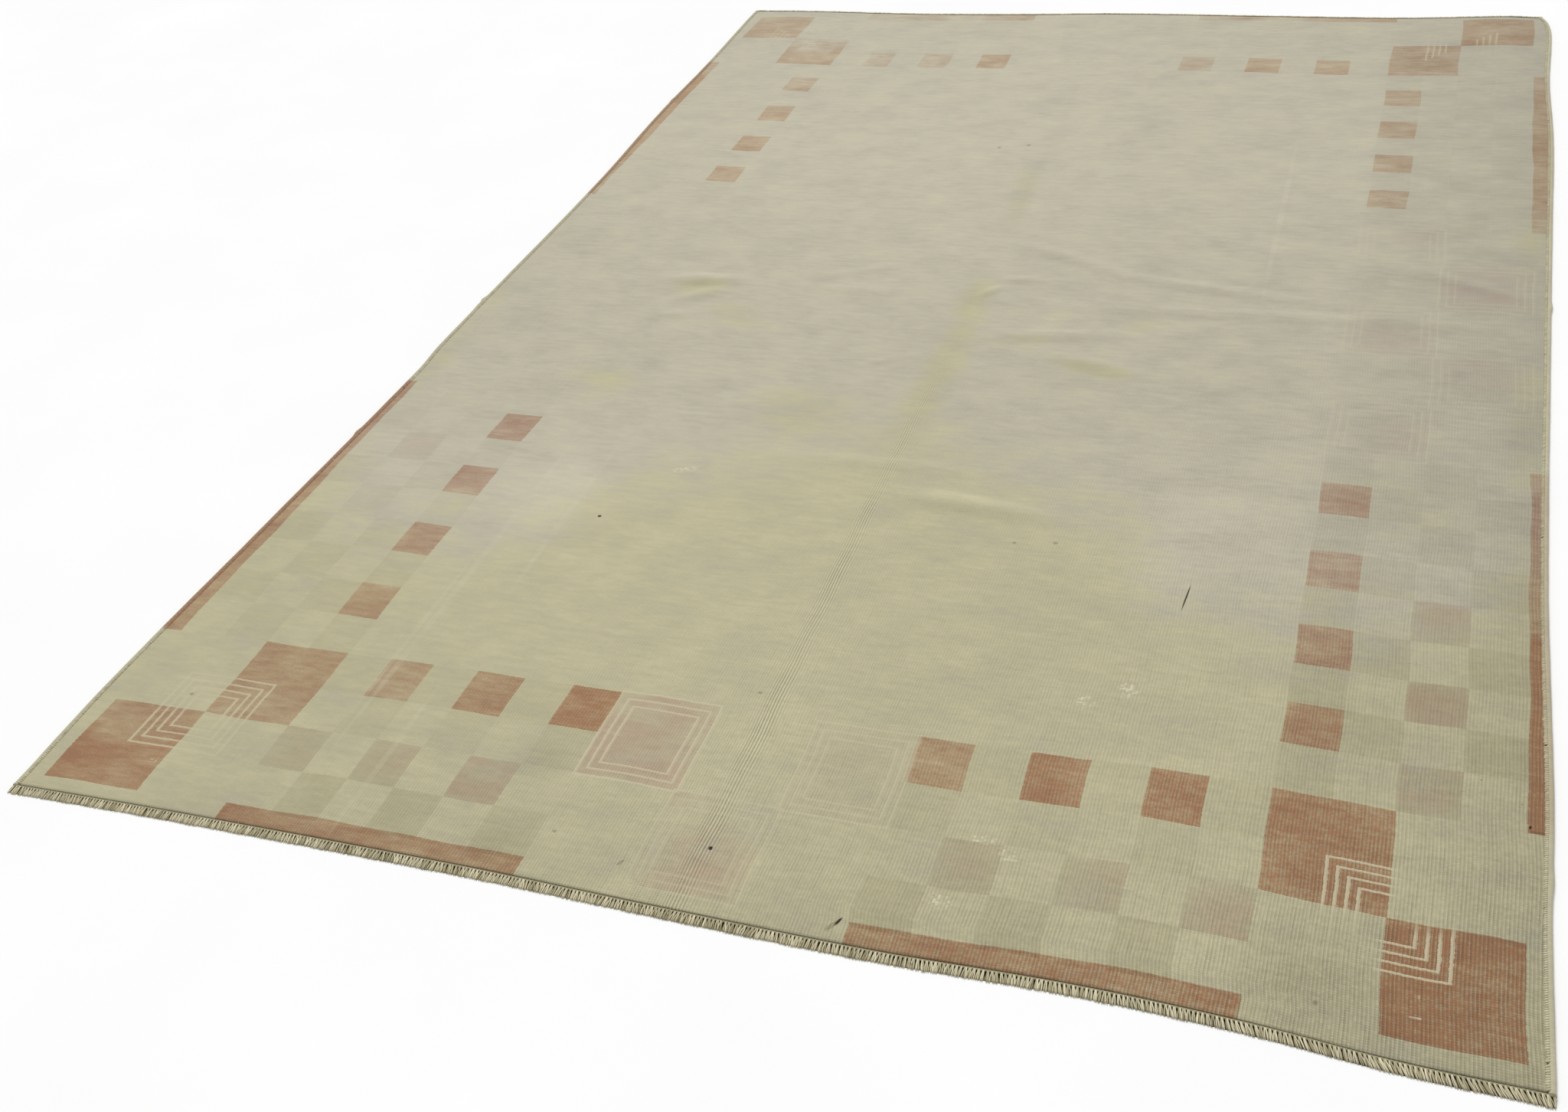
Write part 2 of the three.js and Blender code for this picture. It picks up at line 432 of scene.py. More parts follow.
# Smaller lighter and darker areas: the amount is the share by which the wool is paler. On the three
# crest patches it is a painted highlight along a lit crest.
PALE_PATCHES = table(
    "name x y across along turn amount",
    ("right near", 640, -1330, 560, 480, 0, 0.07),
    ("right rim", 900, -900, 200, 560, 0, 0.03),
    ("fold near", 8, -1280, 150, 560, 0, 0.05),
    ("left corner", -920, -1420, 260, 260, 0, 0.04),
    ("right bleached", 500, -560, 120, 110, 20, 0.06),
    ("right streak", 470, -730, 110, 130, -10, 0.06),
    ("left bleached", -520, -700, 100, 190, 0, 0.09),
    ("centre crest", 110, -600, 170, 28, -4, 0.07),
    ("low crest", -60, -530, 280, 24, 0, 0.04),
    ("low right crest", 180, -850, 110, 30, 10, 0.05),
    ("fold soil far", -8, 560, 36, 420, 0, -0.05),
    ("corner soil", 735, -1415, 120, 90, -15, -0.17),
    ("frame soil", -262, -1290, 60, 60, 0, -0.10),
    ("frame foot soil", -260, -1430, 60, 60, 0, -0.08),
    ("left mid soil", -870, 170, 130, 80, 0, -0.05),
    ("left side soil", -690, 60, 60, 40, 0, -0.05),
    ("left low soil", -870, -170, 130, 80, 0, -0.04),
    ("middle soil", -240, -430, 120, 70, 0, -0.03),
    ("centre pale", -60, 250, 160, 90, 0, 0.04),
    ("right far soil", 740, 1250, 140, 200, 0, -0.05),
)

# Small marks: holes are painted near-black as the shade inside them, stains are dark, bare knots
# show their cotton, creases are pale lines
MARKS = table(
    "name kind x y turn length width",
    ("slit", "hole", 510, -783, 86, 62, 2.4),
    ("hole left", "hole", -419, -749, 0, 7, 6),
    ("hole fold", "hole", 23, -1384, 0, 6, 7),
    ("hole bar", "hole", 958, -1133, 80, 7, 3),
    ("hole foot", "hole", 214, -1458, 68, 15, 4),
    ("stain foot", "stain", 208, -1466, 60, 20, 7),
    ("bar foot", "stain", 967, -1140, 0, 22, 3),
    ("stain left low", "stain", -185, -1402, 0, 7, 5),
    ("stain low", "stain", -79, -1432, 60, 12, 5),
    ("stain far left", "stain", -114, 688, 0, 9, 10),
    ("stain far right", "stain", -53, 704, 0, 9, 10),
    ("stain fold", "stain", -16, -1097, 0, 8, 5),
    ("stain left corner", "stain", -840, -1272, 0, 8, 6),
    ("stain right", "stain", 748, -1445, 0, 6, 7),
    ("stain side", "stain", 903, -1066, 0, 3.5, 3.5),
    ("stain bar", "stain", 949, -1097, 0, 3, 4),
    ("stain upper", "stain", 305, -690, 0, 8, 7),
    ("stain upper low", "stain", 245, -700, 0, 7, 6),
    ("bare right", "bare", 417, -1025, 0, 26, 26),
    ("bare right upper", "bare", 467, -991, 0, 30, 34),
    ("bare check upper", "bare", 347, -1295, 0, 34, 18),
    ("bare check", "bare", 380, -1313, -20, 32, 20),
    ("bare check low", "bare", 320, -1399, 0, 30, 24),
    ("bare corner", "bare", 850, -1413, 80, 9, 4),
    ("bare corner low", "bare", 852, -1440, 0, 30, 3),
    ("bare left", "bare", -330, -600, 20, 60, 14),
    ("bare left corner", "bare", -810, -1408, 0, 16, 8),
    ("bare left end", "bare", -420, -1150, 0, 14, 8),
    ("crease left", "crease", -561, -930, 89.6, 860, 12),
    ("crease twin", "crease", -576, -1080, 90, 420, 9),
    ("crease inner", "crease", -475, -760, 90, 420, 12),
    ("crease low", "crease", -478, -1330, 90, 300, 10),
    ("crease right", "crease", 505, 420, 91, 700, 12),
)


# Shapes of the laid rug


def stand_out(edge, at):
    """How far an edge stands out: a cubic Hermite curve through the table's rows, whose slope at
    a row is the chord between its neighbours, and which stays level outside the table."""
    places = np.array([row["at"] for row in edge], float)
    outs = np.array([row["out"] for row in edge], float)
    last = len(edge) - 1
    before = np.maximum(np.arange(last + 1) - 1, 0)
    after = np.minimum(np.arange(last + 1) + 1, last)
    slopes = (outs[after] - outs[before]) / (places[after] - places[before])
    at = np.clip(at, places[0], places[-1])
    i = np.clip(np.searchsorted(places, at, side="right") - 1, 0, last - 1)
    span = places[i + 1] - places[i]
    t = (at - places[i]) / span
    risen = t * t * (3 - 2 * t)
    leaving = span * slopes[i] * t * (1 - t) ** 2
    arriving = span * slopes[i + 1] * t * t * (t - 1)
    return outs[i] + (outs[i + 1] - outs[i]) * risen + leaving + arriving


def ruck_height(x, y, rucks):
    """Height of the cloth's underside: the sum of lift (1 - s^2)^2 (1 - t^2)^2 over the rucks, where
    s and t run from -1 to 1 along and across each of them."""
    height = np.zeros(np.broadcast(x, y).shape)
    for ruck in rucks:
        turn = math.radians(ruck["turn"])
        dx = x - ruck["x"]
        dy = y - ruck["y"]
        s = (dx * math.cos(turn) + dy * math.sin(turn)) / (ruck["length"] / 2)
        t = (dy * math.cos(turn) - dx * math.sin(turn)) / (ruck["width"] / 2)
        bump = np.clip(1 - s * s, 0, None) ** 2 * np.clip(1 - t * t, 0, None) ** 2
        height = height + ruck["lift"] * bump
    return height


def on_rug(x, y, inset=0.0):
    """A place on the rug from its plain coordinates: the four wavy edges carry the grid between them."""
    left = -WIDTH / 2 - stand_out(LEFT_EDGE, y) + inset
    right = WIDTH / 2 + stand_out(RIGHT_EDGE, y) - inset
    near = -LENGTH / 2 - stand_out(NEAR_EDGE, x)
    far = LENGTH / 2 + stand_out(FAR_EDGE, x)
    return left + (right - left) * (x / WIDTH + 0.5), near + (far - near) * (y / LENGTH + 0.5)


def soft_patches(x, y, patches):
    """The sum of amount (1 - r^2)^2 over turned ellipses, where r is 0 in the middle and 1 at the rim."""
    total = np.zeros(np.broadcast(x, y).shape)
    for patch in patches:
        turn = math.radians(patch["turn"])
        dx = x - patch["x"]
        dy = y - patch["y"]
        s = (dx * math.cos(turn) + dy * math.sin(turn)) / patch["across"]
        t = (dy * math.cos(turn) - dx * math.sin(turn)) / patch["along"]
        total = total + patch["amount"] * np.clip(1 - s * s - t * t, 0, None) ** 2
    return total


def read_off(entries, key, name, at):
    """A table's named column where its key column has a given value, straight between its rows."""
    return np.interp(at, [entry[key] for entry in entries], [entry[name] for entry in entries])


def chart_place(x, y):
    """The chart's column at a real x and its row at a plain y, as the rows follow the woven ends. Each
    is read off two of the measured sets of lines and blended between them. The near right corner
    drifts by a few millimetres, and all lines wander slowly by one or so, as a weaver's lines do."""
    by_corner = np.clip((x - CORNER_FROM) / DRIFT_FADE, 0, 1)
    drift = read_off(CORNER_DRIFT, "y", "drift", y)
    by_end = np.clip((x - END_FROM) / DRIFT_FADE, 0, 1) * np.clip((END_LINE - y) / END_FADE, 0, 1)
    x = x - drift * by_corner - END_DRIFT * by_end * (1 - by_corner)
    near = read_off(COLUMN_LINES, "near", "column", x)
    far = read_off(COLUMN_LINES, "far", "column", x)
    along = np.clip((y - FIRST_LINE) / (LAST_LINE - FIRST_LINE), 0, 1)
    left = read_off(ROW_LINES, "left", "row", y)
    right = read_off(ROW_LINES, "right", "row", y)
    across = np.clip((x - LEFT_LINE) / (RIGHT_LINE - LEFT_LINE), 0, 1)
    sway = 0.014 * np.sin(y / 61 + 1.3 * np.sin(x / 340)) + 0.010 * np.sin(y / 23 + x / 150)
    bow = 0.012 * np.sin(x / 57 + 1.1 * np.sin(y / 290)) + 0.008 * np.sin(x / 21 + y / 170)
    return near + (far - near) * along + sway, left + (right - left) * across + bow


def nearest_value(column, row, entries, name):
    """The named value of the entry whose place on the chart is nearest."""
    apart = np.full(column.shape, np.inf)
    value = np.zeros(column.shape)
    for entry in entries:
        distance = np.maximum(abs(column - entry["column"]), abs(row - entry["row"]))
        closer = distance < apart
        apart = np.where(closer, distance, apart)
        value = np.where(closer, entry[name], value)
    return value


def blended_value(column, row, entries, name):
    """The named value blended between the entries' places, each weighted by 1 / (1 + d^2)^2, where
    d is the distance to it on the chart."""
    total = np.zeros(column.shape)
    weights = np.zeros(column.shape)
    for entry in entries:
        squared = (column - entry["column"]) ** 2 + (row - entry["row"]) ** 2
        weight = 1 / (1 + squared) ** 2
        total += weight * entry[name]
        weights += weight
    return total / weights


def mauve_left(column, row):
    """The strongest of the mauve places: level in the middle and gone a little past its reach."""
    value = np.zeros(column.shape)
    for entry in MAUVE_LEFT:
        distance = np.hypot(column - entry["column"], row - entry["row"]) / entry["reach"]
        value = np.maximum(value, entry["left"] * np.clip(1.6 - distance, 0, 1))
    return value


# Meshes


def mesh_object(name, points, quads, triangles=None):
    """A smooth-shaded object at the origin from points in millimetres and faces by their numbers."""
    triangles = np.zeros((0, 3), int) if triangles is None else triangles
    mesh = bpy.data.meshes.new(name)
    mesh.vertices.add(len(points))
    mesh.vertices.foreach_set("co", (points * MM).astype(np.float32).ravel())
    corners = np.concatenate([quads.ravel(), triangles.ravel()]).astype(np.int32)
    starts = np.concatenate([np.arange(len(quads)) * 4, quads.size + np.arange(len(triangles)) * 3])
    mesh.loops.add(len(corners))
    mesh.loops.foreach_set("vertex_index", corners)
    mesh.polygons.add(len(starts))
    mesh.polygons.foreach_set("loop_start", starts.astype(np.int32))
    mesh.update(calc_edges=True)
    mesh.validate()
    mesh.shade_smooth()
    made = bpy.data.objects.new(name, mesh)
    bpy.context.scene.collection.objects.link(made)
    return made


def set_uv(piece, name, u, v):
    """A UV map from one pair of numbers for each point."""
    layer = piece.data.uv_layers.new(name=name)
    corners = np.zeros(len(piece.data.loops), np.int32)
    piece.data.loops.foreach_get("vertex_index", corners)
    layer.data.foreach_set("uv", np.stack([u, v], 1)[corners].astype(np.float32).ravel())


def set_number(piece, name, values):
    """A named number for each point."""
    made = piece.data.attributes.new(name, "FLOAT", "POINT")
    made.data.foreach_set("value", np.asarray(values, np.float32).ravel())


def steps(stops):
    """Places along a line from (end, step) pairs: after the first end, each stretch is cut evenly."""
    places = [np.array([stops[0][0]], float)]
    for (start, _), (end, step) in zip(stops, stops[1:]):
        count = max(1, round(abs(end - start) / step))
        places.append(np.linspace(start, end, count + 1)[1:])
    return np.concatenate(places)


def grid_faces(rows, columns):
    """Quads of a grid whose points are numbered row by row, facing up."""
    a = (np.arange(rows - 1)[:, None] * columns + np.arange(columns - 1)[None, :]).ravel()
    return np.stack([a, a + 1, a + 1 + columns, a + columns], 1)


def sleeve_faces(rings, sides):
    """Quads between rings of points, and the fans that close its ends on two points after them."""
    r, s = np.meshgrid(np.arange(rings - 1), np.arange(sides), indexing="ij")
    a = (r * sides + s).ravel()
    b = (r * sides + (s + 1) % sides).ravel()
    quads = np.stack([a, b, b + sides, a + sides], 1)
    s = np.arange(sides)
    after = (s + 1) % sides
    last = (rings - 1) * sides
    first_fan = np.stack([np.full(sides, rings * sides), after, s], 1)
    last_fan = np.stack([np.full(sides, rings * sides + 1), last + s, last + after], 1)
    return quads, np.concatenate([first_fan, last_fan])


def tubes(paths, wide, high, sides, floor=None):
    """Closed tubes along paths of shape (tubes, rings, 3). A ring is an oval of half sizes wide and
    high, square to the path, and its points are kept above the floor. Each end is a fan."""
    along = np.gradient(paths, axis=1)
    along /= np.linalg.norm(along, axis=2, keepdims=True)
    aside = np.cross(along, [0.0, 0.0, 1.0])
    aside /= np.linalg.norm(aside, axis=2, keepdims=True)
    up = np.cross(aside, along)
    angle = 2 * np.pi * (np.arange(sides) + 0.5) / sides
    wide = np.broadcast_to(wide, paths.shape[:2])[..., None, None]
    high = np.broadcast_to(high, paths.shape[:2])[..., None, None]
    ring = aside[:, :, None] * wide * np.cos(angle)[:, None] + up[:, :, None] * high * np.sin(angle)[:, None]
    points = paths[:, :, None] + ring
    if floor is not None:
        points[..., 2] = np.maximum(points[..., 2], floor)
    count, rings = paths.shape[:2]
    ends = np.stack([points[:, 0].mean(1), points[:, -1].mean(1)], 1)
    every = np.concatenate([points.reshape(count, -1, 3), ends], 1).reshape(-1, 3)
    quads, fans = sleeve_faces(rings, sides)
    offset = (np.arange(count) * (rings * sides + 2))[:, None, None]
    return every, (quads[None] + offset).reshape(-1, 4), (fans[None] + offset).reshape(-1, 3)


# The knotted body

BODY_INSET = CORD_WIDTH + SEAM
SHOULDER = 4
SHOULDER_DROP = 1.4
FOLD_X = 8
FOLD_HALF = 22
FOLD_STEP = 1.1
BAND_OVERLAP = 1.5
RELIEF_FADE = 60
COCKLE_MEAN = 0.5


def body_columns():
    """Places across the rug: close together at both rims and over the ribs of the middle fold."""
    half = WIDTH / 2
    return steps([
        (-half, 1),
        (-half + SHOULDER, 1.4),
        (FOLD_X - FOLD_HALF - 5, 16),
        (FOLD_X + FOLD_HALF + 5, FOLD_STEP),
        (half - SHOULDER, 16),
        (half, 1.4),
    ])


def body_rows():
    """Places along the rug: close together at both ends and where it is rucked."""
    half = LENGTH / 2
    return steps([
        (-half, 1),
        (-half + SHOULDER, 1.4),
        (-690, 24),
        (-560, 6.5),
        (-495, 6.5),
        (-260, 18),
        (290, 6.5),
        (half - SHOULDER, 26),
        (half, 1.4),
    ])


def fold_bell(x, y):
    """How worn the middle fold is: full at its line, gone at its sides, narrower and weaker towards
    the middle of the rug, and coming and going along it."""
    strength = np.clip((150 - y) / 900, 0.0, 1.0)
    strength = strength * (0.8 + 0.2 * np.sin(y / 37 + 1.5 * np.sin(y / 110)))
    half = FOLD_HALF * (0.45 + 0.55 * np.clip((-y) / 1300, 0, 1))
    from_fold = (x - FOLD_X - 5 * np.sin(y / 300)) / half
    return np.clip(1 - from_fold ** 2, 0, None) ** 1.5 * strength


def fold_relief(x, y, column):
    """The worn middle fold: a shallow groove with the warps standing out in it as ribs, one for each
    column of knots: minus the cosine of the chart's knots, under the fold's bell."""
    return fold_bell(x, y) * (-0.24 * np.cos(2 * np.pi * KNOTS * column) - 0.08)


def cockle(x, y):
    """Slow unevenness of an old rug on a floor: five crossing sine waves of 120 to 750 mm."""
    waves = 0.22 * np.sin(x / 38 + 1.7 * np.sin(y / 160)) * np.sin(y / 27 + 0.8 * np.sin(x / 90))
    waves = waves + 0.30 * np.sin(y / 55 + x / 210 + 0.9) * np.sin(x / 120 + 2.0)
    waves = waves + 0.25 * np.sin(y / 19 + 1.4 * np.sin(x / 75)) * np.clip(1 - (y / 900) ** 2, 0, 1)
    return COCKLE_MEAN + waves


def rib_strength(x, y):
    """How clearly the ribs show: more to the right and the near end, and beside the middle fold."""
    thin = (x + WIDTH / 2) / WIDTH * 0.55 + np.clip((300 - y) / 1800, 0, 1) * 0.75
    by_fold = 0.35 * np.exp(-((x - FOLD_X) / 90) ** 2) * np.clip(-y / 1200, 0, 1)
    return 1.35 * np.clip(thin, 0.3, 1.2) ** 2.6 + by_fold


def make_body():
    """The knotted body: its underside on the rucks, its upper side one thickness higher with rounded
    shoulders, and the rim between them."""
    xs = body_columns()
    ys = body_rows() * (1 - 2 * BAND_OVERLAP / LENGTH)
    x, y = np.meshgrid(xs, ys)
    px, py = on_rug(x, y, BODY_INSET)
    under = ruck_height(px, py, RUCKS)
    from_side = WIDTH / 2 - abs(x)
    from_rim = np.minimum(from_side, ys[-1] - abs(y))
    drop = np.where(from_rim < from_side, SHOULDER_DROP, SHOULDER_DROP / 2)
    shoulder = drop * (1 - np.clip(from_rim / SHOULDER, 0, 1)) ** 2
    away = np.clip(from_rim / RELIEF_FADE, 0, 1)
    column, row = chart_place(px, y)
    relief = away * (ruck_height(px, py, CREASES) + cockle(px, py) + fold_relief(px, py, column))
    upper = under + THICKNESS - COCKLE_MEAN - shoulder + relief
    top = np.stack([px, py, upper], 2).reshape(-1, 3)
    low = np.stack([px, py, under], 2).reshape(-1, 3)
    rows, columns = x.shape
    count = rows * columns
    up = grid_faces(rows, columns)
    down = up[:, ::-1] + count
    number = np.arange(count).reshape(rows, columns)
    rim = np.concatenate([number[0, :], number[1:, -1], number[-1, -2::-1], number[-2:0:-1, 0]])
    after = np.roll(rim, -1)
    wall = np.stack([rim + count, after + count, after, rim], 1)
    piece = mesh_object("knotted_body", np.concatenate([top, low]), np.concatenate([up, down, wall]))
    set_uv(piece, "chart", np.tile(column.ravel(), 2), np.tile(row.ravel(), 2))
    front = read_off(OLIVE_FRONT, "at", "y", px)
    olive = np.clip((front - py) / FRONT_DEPTH + 0.5, 0, 1) + soft_patches(px, py, OLIVE_PATCHES)
    pale = read_off(PALE_ACROSS, "at", "pale", px) * read_off(PALE_ALONG, "at", "pale", py)
    pale = pale * (1 + soft_patches(px, py, PALE_PATCHES))
    numbers = {
        "olive": olive,
        "pale": pale,
        "kept": nearest_value(column, row, DYE_KEPT, "kept"),
        "mauve": mauve_left(column, row),
        "lines": nearest_value(column, row, LINES_LEFT, "left"),
        "checks": blended_value(column, row, CHECKS_LEFT, "left"),
        "ribs": rib_strength(px, py),
        "fold": fold_bell(px, py),
    }
    for name, values in numbers.items():
        set_number(piece, name, np.tile(values.ravel(), 2))
    return piece


# The overcast cords

WRAP_PITCH = 3.2
RINGS_PER_WRAP = 4
CORD_SIDES = 10
WRAP_DEPTH = 0.11
CORD_DRAWN_IN = 0.1
CORD_BUMPS = table(
    "name side y out length",
    ("left mend", -1, -95, 4.5, 16),
    ("left mend tail", -1, -118, 2.0, 34),
    ("left low mend", -1, -585, 3.0, 20),
    ("left far mend", -1, 905, 2.0, 24),
    ("right mend", 1, 120, 2.0, 30),
    ("right low mend", 1, -1210, 1.5, 40),
)


def cord_dye(side, along, row):
    """How red the overcast yarn is: it follows the side bars of the chart, fully only near left."""
    mirrored = np.minimum(row, CHART_ROWS - row)
    strength = {-1: np.where(along < 0, 0.85, 0.65), 1: np.where(along < 0, 0.16, 0.10)}[side]
    return strength * np.clip(mirrored * 8 - 31.5, 0, 1) * np.clip(104.5 - mirrored * 8, 0, 1)


def make_cord(name, side):
    """An oval cord with a flat foot along one side: its rings stand out and draw in with the yarn
    that is wound round it, as a cosine of the wrap pitch."""
    rings = round(LENGTH / WRAP_PITCH * RINGS_PER_WRAP)
    y = np.linspace(-LENGTH / 2, LENGTH / 2, rings)
    outer, along = on_rug(np.full(rings, side * WIDTH / 2), y)
    middle = outer - side * CORD_WIDTH / 2
    lift = ruck_height(middle, along, RUCKS)
    wander = 0.25 * np.sin(along / 47) + 0.2 * np.sin(along / 13.3)
    bulge = np.zeros(rings)
    for bump in CORD_BUMPS:
        if bump["side"] == side:
            bulge += bump["out"] * np.exp(-(((along - bump["y"]) / (bump["length"] / 2)) ** 2))
    path = np.stack([middle + side * bulge / 2, along, lift + CORD_HEIGHT / 2], 1)[None]
    wrap = WRAP_DEPTH * np.cos(2 * np.pi * np.arange(rings) / RINGS_PER_WRAP)
    wide = CORD_WIDTH / 2 - CORD_DRAWN_IN + wrap + 0.4 * wander + bulge / 2
    high = CORD_HEIGHT / 2 - CORD_DRAWN_IN + wrap + 0.3 * wander
    points, quads, fans = tubes(path, wide[None], high[None], CORD_SIDES)
    body = points[:-2].reshape(rings, CORD_SIDES, 3)
    body[..., 2] = np.maximum(body[..., 2], lift[:, None])
    piece = mesh_object(name, points, quads, fans)
    turn = np.tile(np.arange(CORD_SIDES) / CORD_SIDES, rings)
    length = np.repeat(np.arange(rings) / RINGS_PER_WRAP, CORD_SIDES)
    set_uv(piece, "wraps", np.append(turn, [0, 0]), np.append(length, [0, rings / RINGS_PER_WRAP]))
    _, row = chart_place(middle, y)
    dye = cord_dye(side, along, row)
    set_number(piece, "dye", np.append(np.repeat(dye, CORD_SIDES), [dye[0], dye[-1]]))
    return piece


STITCH_PITCH = 3.2
STITCH_INNER = 10.2
STITCH_OUTER = 5.8
STITCH_RINGS = 5
STITCH_SIDES = 6
STITCH_END_GAP = 2.5
STITCHES_MISSING = 0.004


def make_stitches(name, side, seed):
    """The overcasting threads that cross from the body to a cord: a short arched thread for each
    wrap, each a little askew and uneven, and a few missing where the yarn has worn through."""
    random = np.random.default_rng(seed)
    count = round((LENGTH - 2 * STITCH_END_GAP) / STITCH_PITCH)
    y = -LENGTH / 2 + STITCH_END_GAP + STITCH_PITCH * (np.arange(count) + 0.5)
    y = y[random.random(count) > STITCHES_MISSING]
    count = len(y)
    outer, along = on_rug(np.full(count, side * WIDTH / 2), y)
    lift = ruck_height(outer - side * 10, along, RUCKS)
    t = np.linspace(0, 1, STITCH_RINGS)
    inner = STITCH_INNER + 0.4 * np.sin(along / 90) + random.normal(0, 0.35, count)
    reach = inner[:, None] + (STITCH_OUTER - inner[:, None]) * t
    skew = random.normal(0, 0.25, count)[:, None]
    path = np.stack([
        outer[:, None] - side * reach,
        along[:, None] + skew * (t - 0.5) * 2 + 0.9 * (t - 0.5),
        lift[:, None] + THICKNESS - 1.2 + 0.6 * np.sin(np.pi * t) + 1.5 * t,
    ], 2)
    thick = (1.0 + random.normal(0, 0.08, count))[:, None] * (0.78 + 0.22 * np.sin(np.pi * t))
    points, quads, fans = tubes(path, thick * 1.75, thick * 0.62, STITCH_SIDES)
    piece = mesh_object(name, points, quads, fans)
    block = STITCH_RINGS * STITCH_SIDES + 2
    set_number(piece, "shade", np.repeat(random.random(count), block))
    _, row = chart_place(outer, y)
    set_number(piece, "dye", np.repeat(cord_dye(side, along, row), block))
    return piece


# The fringes

TUFTS = 392
STRAND_PLACES = (-1.65, 0, 1.65)
STRAND_RINGS = 6
STRAND_SIDES = 5
STRAND_RADIUS = 0.8
GATHERED = 0.36
ROOT_AT = 0.9
STRAYS_PAST_SIDE = 4
NOT_ON_BAND = -100.0


def swept_aside(x, end):
    """0 where the strands lie straight, rising smoothly to 1 at the near right corner."""
    swept = np.clip((x - SWEPT_FROM) / (WIDTH / 2 - SWEPT_FROM), 0, 1) if end < 0 else 0 * x
    return swept * swept * (3 - 2 * swept)


def tuft_lean(x, end, uneven):
    """Sideways run for each mm of reach: uneven all along, swept aside towards the near right corner
    and turned a little outwards at the near left one."""
    swept = swept_aside(x, end)
    bunched = np.clip((-x - WIDTH / 2 + 30) / 30, 0, 1) if end < 0 else 0 * x
    return STRAND_LEAN * uneven + CORNER_LEAN * swept - 0.3 * bunched


def make_band(end):
    """The whipped band between body and fringe: a rounded ridge whose height rises and falls with
    each slanting stitch, and a thin lip that runs out under the tufts, a sheet painted dark as the
    shade under and between them. Its points come with how far out they lie and how little the
    strands over them are swept aside, which sets how far the painted shade on the lip reaches."""
    step = WIDTH / TUFTS / 4
    x = np.arange(-WIDTH / 2, WIDTH / 2 + step / 2, step)
    line_x, line_y = on_rug(x, np.full(x.shape, end * LENGTH / 2))
    lift = ruck_height(line_x, line_y, RUCKS)
    across = np.array([-1.3, -0.9, -0.4, 0.3, 1.0, 1.6, 2.2, 5.0, 9.0, 13.0, 13.3, 5.0, -1.1])
    height = np.array([2.8, 3.8, 4.2, 4.3, 3.9, 2.8, 1.0, 0.8, 0.7, 0.5, 0.0, 0.0, 0.0])
    stitched = np.array([0.1, 0.5, 0.9, 1.0, 0.9, 0.5, 0.1, 0.0, 0.0, 0.0, 0.0, 0.0, 0.0])
    phase = 2 * np.pi * (x[:, None] / (WIDTH / TUFTS) + 0.18 * across[None, :])
    relief = stitched * (0.30 * np.cos(phase) - 0.30)
    px = line_x[:, None] + 0 * across
    py = line_y[:, None] + end * across
    pz = lift[:, None] + height + relief
    points = np.stack([px, py, np.maximum(pz, lift[:, None])], 2)
    if end > 0:
        points = points[:, ::-1]
    count, ring = points.shape[:2]
    quads, fans = sleeve_faces(count, ring)
    middles = np.stack([points[0].mean(0), points[-1].mean(0)])
    flat = np.concatenate([points.reshape(-1, 3), middles])
    outward = np.tile(across if end < 0 else across[::-1], count)
    lip_lit = np.repeat(1 - swept_aside(x, end), ring)
    turned_quads = quads[:, [0, 3, 2, 1]]
    turned_fans = fans[:, [0, 2, 1]]
    return flat, turned_quads, turned_fans, np.append(outward, [2, 2]), np.append(lip_lit, [1, 1])


def make_fringe(name, end, seed):
    """One end's fringe: the band, and tufts of three thin strands that leave it close together, spread
    until they nearly touch their neighbours, drop to the floor and end in a cut line. A strand is
    a tapering tube on a curved path."""
    random = np.random.default_rng(seed)
    band, band_quads, band_fans, outward, lip_lit = make_band(end)
    tuft_x = -WIDTH / 2 + WIDTH / TUFTS * (np.arange(TUFTS) + 0.5)
    index = np.arange(TUFTS)
    uneven = 0.3 * np.sin(2.4 * index) + 0.9 * np.sin(0.37 * index + np.sin(0.11 * index))
    lean = tuft_lean(tuft_x, end, uneven)
    reach = STRAND_REACH * (0.93 + 0.06 * np.sin(0.61 * index) * np.sin(0.17 * index + 1))
    each = len(STRAND_PLACES)
    strands = TUFTS * each
    x = np.repeat(tuft_x, each)
    lean = np.repeat(lean, each) + random.normal(0, 0.06, strands)
    reach = np.repeat(reach, each) * (1 + random.normal(0, 0.02, strands))
    lift_off = random.random(strands)
    root_x, root_y = on_rug(x, np.full(strands, end * LENGTH / 2))
    t = np.linspace(0, 1, STRAND_RINGS)
    out = ROOT_AT + (SEAM + BAND_WIDTH + reach[:, None] - ROOT_AT) * t
    opened = GATHERED + (1 - GATHERED) * np.clip(t / 0.5, 0, 1) ** 1.2
    beside = np.tile(STRAND_PLACES, TUFTS)[:, None] * opened + random.normal(0, 0.2, strands)[:, None]
    sideways = beside + (lean * reach)[:, None] * t ** 1.2
    radius = STRAND_RADIUS * (1 - 0.15 * t ** 3) * (1 + random.normal(0, 0.07, strands))[:, None]
    fall = 2.2 * (1 - t) ** 1.5 + lift_off[:, None] * 0.9 * np.sin(np.pi * np.clip(t * 1.05, 0, 1))
    reach_limit = WIDTH / 2 + STRAYS_PAST_SIDE
    path = np.stack([
        np.clip(root_x[:, None] + sideways, -reach_limit, reach_limit),
        root_y[:, None] + end * out,
        radius + 0.05 + fall,
    ], 2)
    points, quads, fans = tubes(path, radius, radius, STRAND_SIDES, floor=0.0)
    base = len(band)
    piece = mesh_object(
        name,
        np.concatenate([band, points]),
        np.concatenate([band_quads, quads + base]),
        np.concatenate([band_fans, fans + base]),
    )
    block = STRAND_RINGS * STRAND_SIDES + 2
    along = np.tile(np.append(np.repeat(t, STRAND_SIDES), [0, 1]), strands)
    set_number(piece, "shade", np.concatenate([lip_lit, np.repeat(random.random(strands), block)]))
    set_number(piece, "along", np.concatenate([np.zeros(base), along]))
    set_number(piece, "outward", np.concatenate([outward, np.full(len(points), NOT_ON_BAND)]))
    return piece


# Materials


